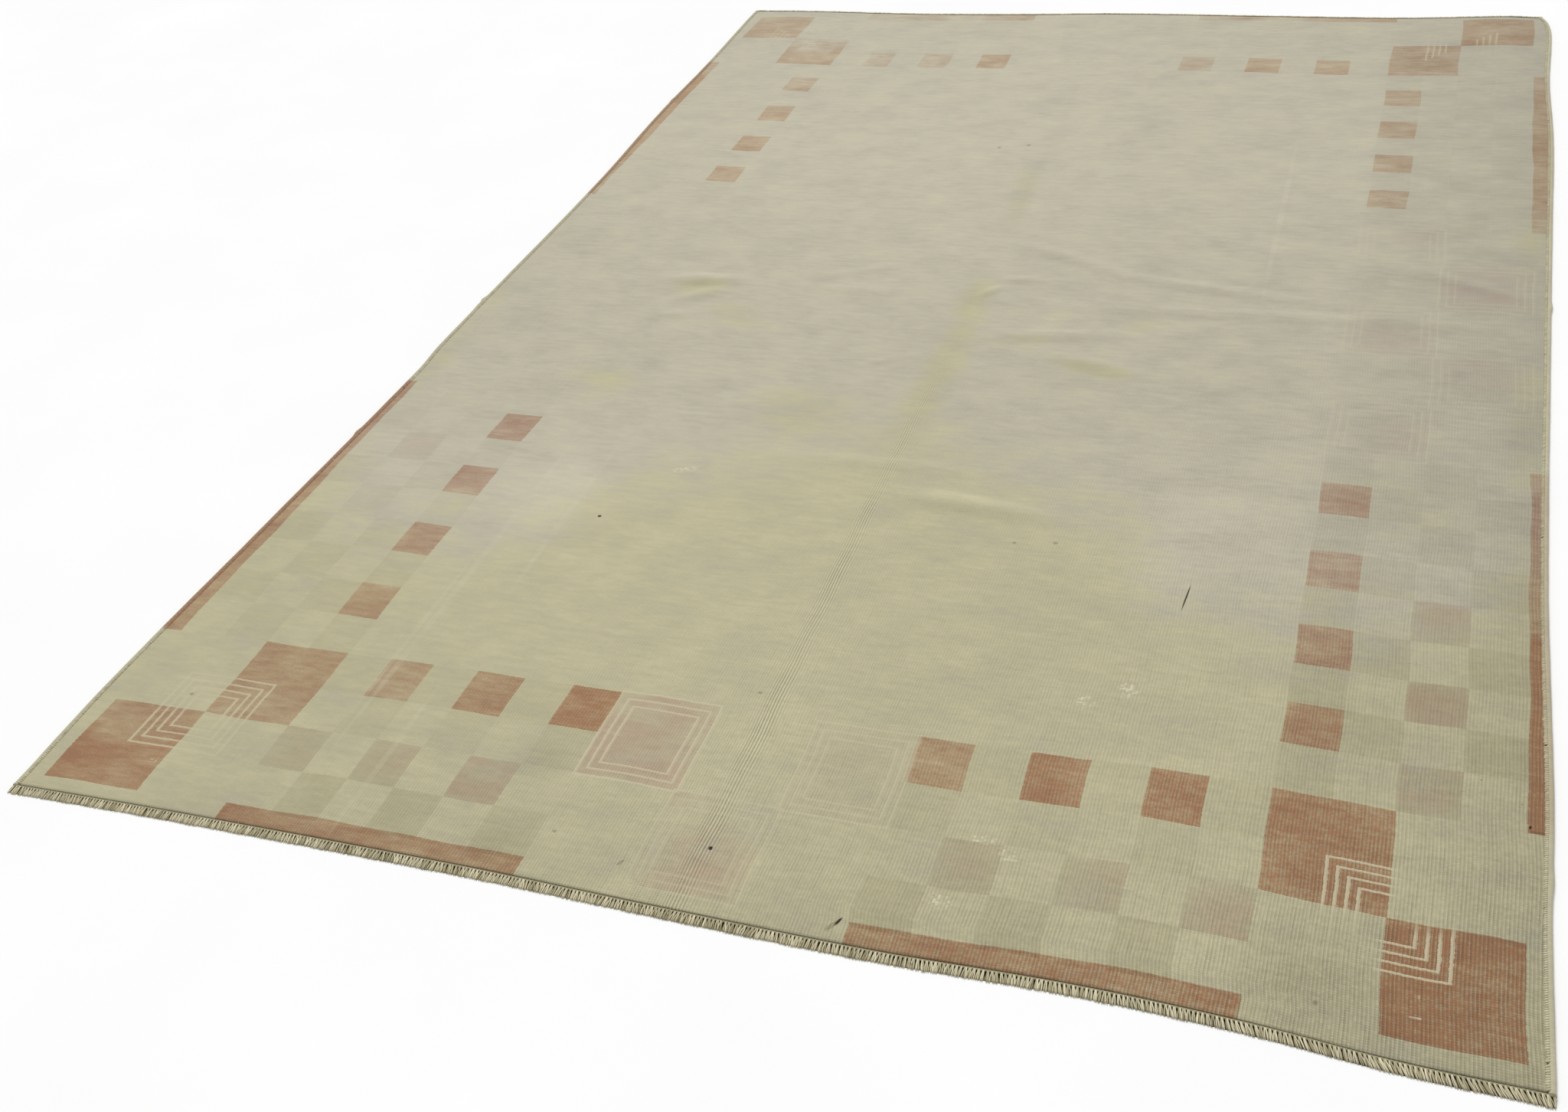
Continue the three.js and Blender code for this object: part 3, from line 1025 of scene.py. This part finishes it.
def colour(hexadecimal):
    """An sRGB hex value as linear red, green, blue and one."""
    whole = [int(hexadecimal[i : i + 2], 16) / 255 for i in (1, 3, 5)]
    return [c / 12.92 if c <= 0.04045 else ((c + 0.055) / 1.055) ** 2.4 for c in whole] + [1.0]


def add(tree, kind, *inputs, out=0, named=None, **settings):
    """Adds one node and returns one of its outputs. Inputs fill its sockets in order and named ones
    by name: a socket is linked, None leaves the node's own value, and anything else is set."""
    node = tree.nodes.new(kind)
    for key, value in settings.items():
        setattr(node, key, value)
    for key, value in [*enumerate(inputs), *(named or {}).items()]:
        if isinstance(value, bpy.types.NodeSocket):
            tree.links.new(value, node.inputs[key])
        elif value is not None:
            node.inputs[key].default_value = value
    return node.outputs[out]


MATH = "ShaderNodeMath"
VECTOR = "ShaderNodeVectorMath"
RANGE = "ShaderNodeMapRange"
NOISE = "ShaderNodeTexNoise"
ATTRIBUTE = "ShaderNodeAttribute"
MIX = "ShaderNodeMix"
SEPARATE = "ShaderNodeSeparateXYZ"
WHITE_NOISE = "ShaderNodeTexWhiteNoise"
COORDINATES = "ShaderNodeTexCoord"

# A mix node for colours: its sockets 0, 6 and 7 take the amount and the two colours
BLEND = {"out": 2, "data_type": "RGBA"}
TINT = {**BLEND, "blend_type": "MULTIPLY"}


def new_material(name):
    """An empty node material with its tree."""
    made = bpy.data.materials.new(name)
    made.use_nodes = True
    made.node_tree.nodes.clear()
    return made, made.node_tree


def end_material(tree, shader):
    """Links a shader to the material's output."""
    output = tree.nodes.new("ShaderNodeOutputMaterial")
    tree.links.new(shader, output.inputs["Surface"])


def finish_cloth(tree, tint, height, strength, distance, sheen=0.1, rough=0.95):
    """Ends a cloth material: a matt surface with a soft sheen, as short wool or cotton fibres give,
    and a bump from the height, by its strength and its distance in metres."""
    bump = add(
        tree, "ShaderNodeBump",
        named={"Strength": strength, "Distance": distance, "Height": height},
    )
    shader = add(tree, "ShaderNodeBsdfPrincipled", named={
        "Roughness": rough,
        "IOR": 1.5,
        "Specular IOR Level": 0.2,
        "Sheen Weight": sheen,
        "Sheen Roughness": 0.5,
        "Base Color": tint,
        "Normal": bump,
    })
    end_material(tree, shader)


def within(tree, value, first, last):
    """1 where a knot's whole number lies from first to last, both counted in."""
    return add(tree, MATH, value, (first + last) / 2, (last - first) / 2 + 0.25, operation="COMPARE")


def block(tree, across, rows, columns, lines):
    """1 on the knots of a block of the chart, from its first and last column and row."""
    wide = within(tree, across, round(columns[0] * KNOTS), round(columns[1] * KNOTS) - 1)
    long = within(tree, rows, round(lines[0] * LINES), round(lines[1] * LINES) - 1)
    return add(tree, MATH, wide, long, operation="MULTIPLY")


def every_other(tree, value, start, cell):
    """1 on the first of every two cells, counted from the cell where it starts."""
    shifted = add(tree, MATH, value, start * cell, operation="SUBTRACT")
    turn = add(tree, MATH, shifted, 2.0 * cell, operation="FLOORED_MODULO")
    return add(tree, MATH, turn, cell - 0.5, operation="LESS_THAN")


def nested_lines(tree, knots, lines, first_knot, first_line, count, cross=1.0):
    """1 on square rings of single knots round a middle, from the whole numbers of knots and lines
    to it. Each ring is three knots and four lines further out than the last. The sides that run
    across the rug are weakened by cross."""
    a = add(tree, MATH, knots, first_knot, operation="SUBTRACT")
    a = add(tree, MATH, a, 1 / 3, operation="MULTIPLY")
    b = add(tree, MATH, lines, first_line, operation="SUBTRACT")
    b = add(tree, MATH, b, 1 / 4, operation="MULTIPLY")
    ring = add(tree, MATH, a, b, operation="MAXIMUM")
    whole = add(tree, MATH, ring, operation="ROUND")
    on_line = add(tree, MATH, ring, whole, 0.12, operation="COMPARE")
    counted = add(tree, MATH, whole, (count - 1) / 2, (count - 1) / 2 + 0.25, operation="COMPARE")
    on_line = add(tree, MATH, on_line, counted, operation="MULTIPLY")
    lengthwise = add(tree, MATH, ring, a, 0.05, operation="COMPARE")
    clear = add(tree, MATH, lengthwise, cross, operation="MAXIMUM")
    return add(tree, MATH, on_line, clear, operation="MULTIPLY")


def whole_steps_from(tree, value, middle):
    """Whole numbers of knots from a line of the chart, 0 for the knots on both sides of it."""
    apart = add(tree, MATH, value, middle - 0.5, operation="SUBTRACT")
    apart = add(tree, MATH, apart, operation="ABSOLUTE")
    return add(tree, MATH, apart, 0.5, operation="SUBTRACT")


def any_of(tree, masks):
    """The strongest of several masks."""
    joined = masks[0]
    for mask in masks[1:]:
        joined = add(tree, MATH, joined, mask, operation="MAXIMUM")
    return joined


def mark_mask(tree, place, mark):
    """1 inside a small turned oval, fading at its rim."""
    local = add(
        tree, "ShaderNodeMapping", place, vector_type="TEXTURE",
        named={
            "Location": (mark["x"] * MM, mark["y"] * MM, THICKNESS * MM),
            "Rotation": (0, 0, math.radians(mark["turn"])),
            "Scale": (mark["length"] / 2 * MM, mark["width"] / 2 * MM, 1),
        },
    )
    away = add(tree, VECTOR, local, operation="LENGTH", out="Value")
    return add(tree, RANGE, away, 1.15, 0.65, 0.0, 1.0)


def marks_of(tree, place, kind):
    """The masks of all small marks of one kind, joined."""
    return any_of(tree, [mark_mask(tree, place, mark) for mark in MARKS if mark["kind"] == kind])


def weighted_sum(tree, start, parts):
    """Start plus each value times its weight."""
    for value, weight in parts:
        start = add(tree, MATH, value, weight, start, operation="MULTIPLY_ADD")
    return start


def centred_sum(tree, start, parts):
    """Start plus each value's distance from a half times its weight."""
    for value, weight in parts:
        away = add(tree, MATH, value, 0.5, operation="SUBTRACT")
        start = weighted_sum(tree, start, [(away, weight)])
    return start


# What full terracotta dye leaves of the ground's red, green and blue, near and, tanner, far off
DYED = (0.69, 0.385, 0.295, 1)
DYED_FAR = (0.72, 0.38, 0.17, 1)


def knotted_wool():
    """Hand-knotted sheep's wool on a cotton ground, washed out and clipped close: matt, one colour to
    a knot, with the warps' ribs showing through where the pile is thin. Knots are 4.3 by 3.4 mm."""
    made, tree = new_material("clipped_hand_knotted_wool")
    chart = add(tree, "ShaderNodeUVMap", uv_map="chart")
    place = add(tree, COORDINATES, out="Object")
    names = ("olive", "pale", "kept", "mauve", "lines", "checks", "ribs", "fold")
    number = {name: add(tree, ATTRIBUTE, out="Fac", attribute_name=name) for name in names}

    # Knot numbers: the chart in knots, each knot a little out of true, cut to whole knots
    knots = add(tree, VECTOR, chart, (KNOTS, LINES, 0), operation="MULTIPLY")
    own = add(tree, VECTOR, knots, operation="FLOOR")
    crooked = add(tree, WHITE_NOISE, own, out="Color", noise_dimensions="2D")
    crooked = add(tree, VECTOR, crooked, (0.26, 0.26, 0), (-0.13, -0.13, 0), operation="MULTIPLY_ADD")
    strayed = add(tree, VECTOR, knots, crooked, operation="ADD")
    whole = add(tree, VECTOR, strayed, operation="FLOOR")
    knot_x = add(tree, SEPARATE, whole, out="X")
    knot_y = add(tree, SEPARATE, whole, out="Y")
    across = whole_steps_from(tree, knot_x, 0)
    half = CHART_ROWS * LINES // 2
    rows = whole_steps_from(tree, knot_y, half)
    rows = add(tree, MATH, half - 1, rows, operation="SUBTRACT")
    near = add(tree, MATH, knot_y, half, operation="LESS_THAN")

    # Terracotta: corner blocks, second blocks, end squares, side squares and the bars at the rim
    corner = block(tree, across, rows, (11, 13), (0, 2))
    second = block(tree, across, rows, (9, 11), (2, 4))
    ends = block(tree, across, rows, (3, 8), (3, 4))
    ends = add(tree, MATH, ends, every_other(tree, across, 3, KNOTS), operation="MULTIPLY")
    sides = block(tree, across, rows, (9, 10), (5, 12))
    sides = add(tree, MATH, sides, every_other(tree, rows, 5, LINES), operation="MULTIPLY")
    side_bar = block(tree, across, rows, (13, 14), (4, 13))
    end_bar = block(tree, across, rows, (3, 9), (-1, 0.1))
    red = any_of(tree, [corner, second, ends, sides, side_bar, end_bar])

    # Four nested pale lines round the point where a corner block meets the second one, and three in
    # each framed block: three by the middle of each end, and five down each side
    from_point = whole_steps_from(tree, across, 11 * KNOTS)
    above_point = whole_steps_from(tree, rows, 2 * LINES)
    lines = [nested_lines(tree, from_point, above_point, 7, 10, 4, near)]
    for column, row in ((2, 3), (0, 1), (10, 14), (10, 18), (12, 16)):
        beside = whole_steps_from(tree, across, column * KNOTS)
        above = whole_steps_from(tree, rows, row * LINES)
        lines.append(nested_lines(tree, beside, above, 11, 16, 3))
    lines = any_of(tree, lines)
    framed = any_of(tree, [
        block(tree, across, rows, (1, 3), (2, 4)),
        block(tree, across, rows, (0, 1), (0, 2)),
        block(tree, across, rows, (9, 11), (13, 15)),
        block(tree, across, rows, (9, 11), (17, 19)),
        block(tree, across, rows, (11, 13), (15, 17)),
    ])

    # Checks: every cell of the border whose column and row add up to an odd number is darker
    odd = add(
        tree, MATH, every_other(tree, across, 0, KNOTS), every_other(tree, rows, 0, LINES),
        operation="SUBTRACT",
    )
    odd = add(tree, MATH, odd, operation="ABSOLUTE")
    checked = any_of(tree, [
        block(tree, across, rows, (3, 9), (0, 4)),
        block(tree, across, rows, (9, 13), (4, 13)),
    ])
    odd = add(tree, MATH, odd, checked, operation="MULTIPLY")
    mauve_check = any_of(tree, [
        block(tree, across, rows, (4, 9), (1, 2)),
        block(tree, across, rows, (11, 12), (4, 12)),
    ])
    mauve_check = add(tree, MATH, mauve_check, odd, operation="MULTIPLY")
    mauve = add(tree, MATH, mauve_check, framed, operation="MAXIMUM")
    mauve = add(tree, MATH, mauve, number["mauve"], operation="MULTIPLY")

    # Wear: each knot's own shade, cloudy blots, and streaks that follow the weft, coarse and fine
    knot_shade = add(tree, WHITE_NOISE, whole, noise_dimensions="2D")
    cloud = add(tree, NOISE, place, named={"Scale": 9.0, "Detail": 5.0, "Roughness": 0.62})
    long_way = add(tree, VECTOR, place, (8.0, 19.0, 1.0), operation="MULTIPLY")
    blot = add(tree, NOISE, long_way, named={"Scale": 1.0, "Detail": 4.0, "Roughness": 0.6})
    short_way = add(tree, VECTOR, place, (24.0, 110.0, 1.0), operation="MULTIPLY")
    streak = add(tree, NOISE, short_way, named={"Scale": 1.0, "Detail": 3.0, "Roughness": 0.6})
    fibre = add(tree, NOISE, place, named={"Scale": 420.0, "Detail": 2.0, "Roughness": 0.7})
    speckle = add(tree, MATH, knot_shade, 0.5, operation="SUBTRACT")
    speckle = add(tree, MATH, speckle, number["ribs"], operation="MULTIPLY")

    # Weave: the warps' ribs along the rug, each with its own strength, and weaker knot lines across
    turns = add(tree, VECTOR, knots, (2 * math.pi,) * 3, operation="MULTIPLY")
    rib = add(tree, MATH, add(tree, SEPARATE, turns, out="X"), operation="COSINE")
    line = add(tree, MATH, add(tree, SEPARATE, turns, out="Y"), operation="COSINE")
    lengthwise = add(tree, VECTOR, place, (230.0, 16.0, 1.0), operation="MULTIPLY")
    warp = add(tree, NOISE, lengthwise, named={"Scale": 1.0, "Detail": 2.0, "Roughness": 0.6})
    strength = add(tree, RANGE, warp, 0.3, 0.7, 0.35, 1.45)
    weave = add(tree, MATH, line, 0.2, rib, operation="MULTIPLY_ADD")
    weave = add(tree, MATH, weave, strength, operation="MULTIPLY")
    weave = add(tree, MATH, weave, number["ribs"], operation="MULTIPLY")
    worn = add(tree, MATH, rib, number["fold"], operation="MULTIPLY")

    # Ground: grey sage, with the olive cast broken up into streaks along its border
    olive = centred_sum(tree, number["olive"], [(blot, 1.4), (streak, 0.6), (cloud, 1.4)])
    olive = add(tree, RANGE, olive, -0.05, 1.1, 0.0, 1.0, interpolation_type="SMOOTHSTEP")
    ground = add(tree, MIX, named={0: olive, 6: colour("#bcb6a1"), 7: colour("#b9b392")}, **BLEND)
    shade = centred_sum(tree, number["pale"], [
        (cloud, 0.26), (blot, 0.26), (streak, 0.26), (fibre, 0.06),
    ])
    # Painted shade and light of the relief: the weave's hollows darker and its ridges paler, much more so on
    # the middle fold's ribs
    shade = weighted_sum(tree, shade, [
        (speckle, 0.05), (weave, -0.045), (worn, -0.25), (number["fold"], 0.02),
    ])
    ground = add(tree, VECTOR, ground, operation="SCALE", named={"Scale": shade})

    # Dye: checks, mauve and terracotta darken the ground, and single knots have lost theirs
    patchy = add(tree, RANGE, cloud, 0.35, 0.62, 0.45, 1.15)
    check_amount = add(tree, MATH, odd, number["checks"], operation="MULTIPLY")
    check_amount = add(tree, MATH, check_amount, patchy, operation="MULTIPLY")
    tint = add(tree, MIX, named={0: check_amount, 6: ground, 7: (0.865, 0.86, 0.83, 1)}, **TINT)
    smeared = add(tree, RANGE, blot, 0.38, 0.62, 0.35, 1.2)
    mauve = add(tree, MATH, mauve, smeared, operation="MULTIPLY")
    tint = add(tree, MIX, named={0: mauve, 6: tint, 7: (0.90, 0.765, 0.815, 1)}, **TINT)
    kept = add(tree, MATH, number["kept"], 0.86, operation="MULTIPLY")
    dye = centred_sum(tree, kept, [(cloud, -0.7), (blot, -0.5), (streak, -0.5), (fibre, -0.5)])
    dye = weighted_sum(tree, dye, [(speckle, 0.18), (weave, 0.05)])
    dye = add(tree, MATH, dye, 0.0, operation="MAXIMUM")
    red = add(tree, MATH, red, dye, operation="MULTIPLY")
    dyed = add(tree, MIX, named={0: near, 6: DYED_FAR, 7: DYED}, **BLEND)
    tint = add(tree, MIX, named={0: red, 6: tint, 7: dyed}, **TINT)

    # Pale woven lines, bare knots where the cotton shows, creases, stains and holes
    lines = add(tree, MATH, lines, number["lines"], operation="MULTIPLY")
    lines = add(tree, MATH, lines, 0.85, operation="MULTIPLY")
    tint = add(tree, MIX, named={0: lines, 6: tint, 7: colour("#c2b99b")}, **BLEND)
    crease = add(tree, MATH, marks_of(tree, place, "crease"), 0.20, operation="MULTIPLY")
    crease = add(tree, MATH, crease, smeared, operation="MULTIPLY")
    tint = add(tree, MIX, named={0: crease, 6: tint, 7: colour("#cbc5ae")}, **BLEND)
    chosen = add(tree, RANGE, knot_shade, 0.5, 0.95, 0.0, 0.6)
    bare = add(tree, MATH, marks_of(tree, place, "bare"), chosen, operation="MULTIPLY")
    tint = add(tree, MIX, named={0: bare, 6: tint, 7: colour("#d9d0b6")}, **BLEND)
    stain = marks_of(tree, place, "stain")
    tint = add(tree, MIX, named={0: stain, 6: tint, 7: (0.68, 0.68, 0.65, 1)}, **TINT)
    # Holes: painted near-black, as the shade inside them
    hole = marks_of(tree, place, "hole")
    tint = add(tree, MIX, named={0: hole, 6: tint, 7: (0.07, 0.06, 0.05, 1)}, **TINT)

    # Relief: the weave, the fold's own ribs and the fibres
    raised = add(tree, MATH, weave, -1.0, operation="MULTIPLY")
    raised = weighted_sum(tree, raised, [(worn, -1.2)])
    relief = centred_sum(tree, raised, [(fibre, 1.6)])
    finish_cloth(tree, tint, relief, 1.0, 0.00018, sheen=0.12)
    return made


def overcast_yarn():
    """Two-ply wool yarn wound close round the side warps: matt, sage, and dyed along the side bars."""
    made, tree = new_material("overcast_wool_yarn")
    wraps = add(tree, "ShaderNodeUVMap", uv_map="wraps")
    place = add(tree, COORDINATES, out="Object")
    dye = add(tree, ATTRIBUTE, out="Fac", attribute_name="dye")
    turns = add(tree, SEPARATE, wraps, out="Y")
    phase = add(tree, MATH, turns, 2 * math.pi, operation="MULTIPLY")
    ridge = add(tree, MATH, phase, operation="COSINE")
    number = add(tree, MATH, turns, operation="ROUND")
    turn_shade = add(tree, WHITE_NOISE, named={"W": number}, noise_dimensions="1D")
    fuzz = add(tree, NOISE, place, named={"Scale": 900.0, "Detail": 2.0})
    cloud = add(tree, NOISE, place, named={"Scale": 12.0, "Detail": 3.0})
    # Painted shade: the yarn is darker in the valleys between its turns and a little paler on their ridges
    amount = add(tree, RANGE, ridge, -1.0, 1.0, 0.93, 1.02)
    amount = centred_sum(tree, amount, [(turn_shade, 0.10), (fuzz, 0.10), (cloud, 0.25)])
    tint = add(tree, VECTOR, colour("#b9b398")[:3], operation="SCALE", named={"Scale": amount})
    tint = add(tree, MIX, named={0: dye, 6: tint, 7: DYED}, **TINT)
    height = add(tree, MATH, fuzz, 0.6, ridge, operation="MULTIPLY_ADD")
    finish_cloth(tree, tint, height, 0.8, 0.00012)
    return made


def stitch_thread():
    """Undyed wool thread of the overcasting where it crosses the seam: paler than the cord."""
    made, tree = new_material("overcast_stitch_thread")
    shade = add(tree, ATTRIBUTE, out="Fac", attribute_name="shade")
    dye = add(tree, ATTRIBUTE, out="Fac", attribute_name="dye")
    place = add(tree, COORDINATES, out="Object")
    fuzz = add(tree, NOISE, place, named={"Scale": 1100.0, "Detail": 2.0})
    tint = add(tree, MIX, named={0: shade, 6: colour("#aea88a"), 7: colour("#c2bc9f")}, **BLEND)
    tint = add(tree, MIX, named={0: dye, 6: tint, 7: DYED}, **TINT)
    finish_cloth(tree, tint, fuzz, 0.6, 0.00015)
    return made


def warp_cotton():
    """Plied cotton warp ends, cut short and yellowed: cream strands, with painted shade in the band's
    groove and between and under their roots.
    """
    made, tree = new_material("cut_cotton_warp_ends")
    shade = add(tree, ATTRIBUTE, out="Fac", attribute_name="shade")
    along = add(tree, ATTRIBUTE, out="Fac", attribute_name="along")
    outward = add(tree, ATTRIBUTE, out="Fac", attribute_name="outward")
    place = add(tree, COORDINATES, out="Object")
    fuzz = add(tree, NOISE, place, named={"Scale": 900.0, "Detail": 2.0})
    cloud = add(tree, NOISE, place, named={"Scale": 16.0, "Detail": 2.0})
    strand = add(tree, MIX, named={0: shade, 6: colour("#9a916c"), 7: colour("#ece3c4")}, **BLEND)
    # Painted shade: each strand is darker towards its root. It is also a little darker at its tip.
    root = add(tree, RANGE, along, 0.0, 0.3, 0.85, 1.0)
    tip = add(tree, RANGE, along, 0.75, 1.0, 1.0, 0.9)
    root = add(tree, MATH, root, tip, operation="MULTIPLY")
    strand = add(tree, VECTOR, strand, operation="SCALE", named={"Scale": root})
    # Painted shade: near-black in the groove at the band's inner edge and on the lip under the tufts
    under = add(tree, RANGE, outward, 1.3, 1.9, 0.0, 1.0)
    groove = add(tree, RANGE, outward, 0.35, -0.1, 0.0, 0.95)
    groove_and_lip_shade = add(tree, MATH, under, groove, operation="MAXIMUM")
    band = add(tree, MIX, named={0: groove_and_lip_shade, 6: colour("#b3ac8a"), 7: colour("#231f13")}, **BLEND)
    # The lip turns a lighter khaki further out, but its painted shade stays dark where the strands are swept
    # aside
    lip_lit = add(tree, RANGE, outward, 6.0, 9.0, 0.0, 1.0)
    lip_lit = add(tree, MATH, lip_lit, shade, operation="MULTIPLY")
    band = add(tree, MIX, named={0: lip_lit, 6: band, 7: colour("#8f8763")}, **BLEND)
    is_strand = add(tree, MATH, outward, NOT_ON_BAND / 2, operation="LESS_THAN")
    tint = add(tree, MIX, named={0: is_strand, 6: band, 7: strand}, **BLEND)
    grain = centred_sum(tree, 1.0, [(fuzz, 0.3), (cloud, 0.35)])
    tint = add(tree, VECTOR, tint, operation="SCALE", named={"Scale": grain})
    finish_cloth(tree, tint, fuzz, 0.7, 0.00015, rough=0.9)
    return made


def floor_paint():
    """A plain white studio floor with the faintest mottle."""
    made, tree = new_material("white_floor_paint")
    place = add(tree, COORDINATES, out="Object")
    mottle = add(tree, NOISE, place, named={"Scale": 3.0, "Detail": 2.0})
    grey = add(tree, RANGE, mottle, 0.3, 0.7, 0.94, 0.96)
    shader = add(tree, "ShaderNodeBsdfDiffuse", named={"Color": grey})
    end_material(tree, shader)
    return made


# Camera: place in metres, azimuth from the rug's length, tilt below level, roll and the lens in
# millimetres, all from the photograph's perspective

CAMERA_PLACE = (0.7669, -2.6789, 1.5241)
CAMERA_AZIMUTH = 24.403
CAMERA_TILT = 36.292
CAMERA_ROLL = -8.345
CAMERA_LENS = 38.913


def make_camera():
    """The camera that took the photograph, as the scene's own."""
    camera = bpy.data.objects.new("camera", bpy.data.cameras.new("camera"))
    bpy.context.scene.collection.objects.link(camera)
    turn = Matrix.Rotation(math.radians(CAMERA_AZIMUTH), 4, "Z")
    tilt = Matrix.Rotation(math.radians(90 - CAMERA_TILT), 4, "X")
    roll = Matrix.Rotation(math.radians(CAMERA_ROLL), 4, "Z")
    camera.matrix_world = Matrix.Translation(CAMERA_PLACE) @ turn @ tilt @ roll
    camera.data.sensor_width = 36
    camera.data.lens = CAMERA_LENS
    camera.data.clip_start = 0.05
    camera.data.clip_end = 100
    bpy.context.scene.camera = camera


# Floor and light: a white sky all round and one broad soft lamp from beyond the far end

SUN_FROM = Vector((-0.35, 1.0, 0.85))
SUN_STRENGTH = 2.1
SUN_SPREAD = 22
SKY_STRENGTH = 0.62
FLOOR_HALF = 20


def make_studio():
    """The floor, the lamp and the sky."""
    corners = np.array([[-1, -1, 0], [1, -1, 0], [1, 1, 0], [-1, 1, 0]], float)
    floor = mesh_object("studio_floor", corners * FLOOR_HALF / MM, np.array([[0, 1, 2, 3]]))
    floor.data.materials.append(floor_paint())
    lamp = bpy.data.lights.new("soft_lamp", "SUN")
    lamp.energy = SUN_STRENGTH
    lamp.angle = math.radians(SUN_SPREAD)
    holder = bpy.data.objects.new("soft_lamp", lamp)
    holder.rotation_mode = "QUATERNION"
    holder.rotation_quaternion = SUN_FROM.to_track_quat("Z", "Y")
    bpy.context.scene.collection.objects.link(holder)
    world = bpy.data.worlds.new("white_surround")
    world.use_nodes = True
    backdrop = world.node_tree.nodes["Background"]
    backdrop.inputs["Color"].default_value = (1, 1, 1, 1)
    backdrop.inputs["Strength"].default_value = SKY_STRENGTH
    bpy.context.scene.world = world
    bpy.context.scene.view_settings.view_transform = "Standard"


make_camera()
make_studio()

wool = knotted_wool()
yarn = overcast_yarn()
thread = stitch_thread()
cotton = warp_cotton()

body = make_body()
body.data.materials.append(wool)
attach(body, "root")
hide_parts("rug_field")

trims = []
for side_name, side, seed in (("left", -1, 11), ("right", 1, 12)):
    cord = make_cord(f"overcast_cord_{side_name}", side)
    cord.data.materials.append(yarn)
    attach(cord, "root")
    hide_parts(f"side_cord_{side_name}")
    stitches = make_stitches(f"overcast_stitches_{side_name}", side, seed)
    stitches.data.materials.append(thread)
    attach(stitches, "root")
    trims += [cord, stitches]

for end_name, end, seed in (("near", -1, 21), ("far", 1, 22)):
    fringe = make_fringe(f"cut_fringe_{end_name}", end, seed)
    fringe.data.materials.append(cotton)
    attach(fringe, "root")
    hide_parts(f"fringe_{end_name}")
    trims.append(fringe)
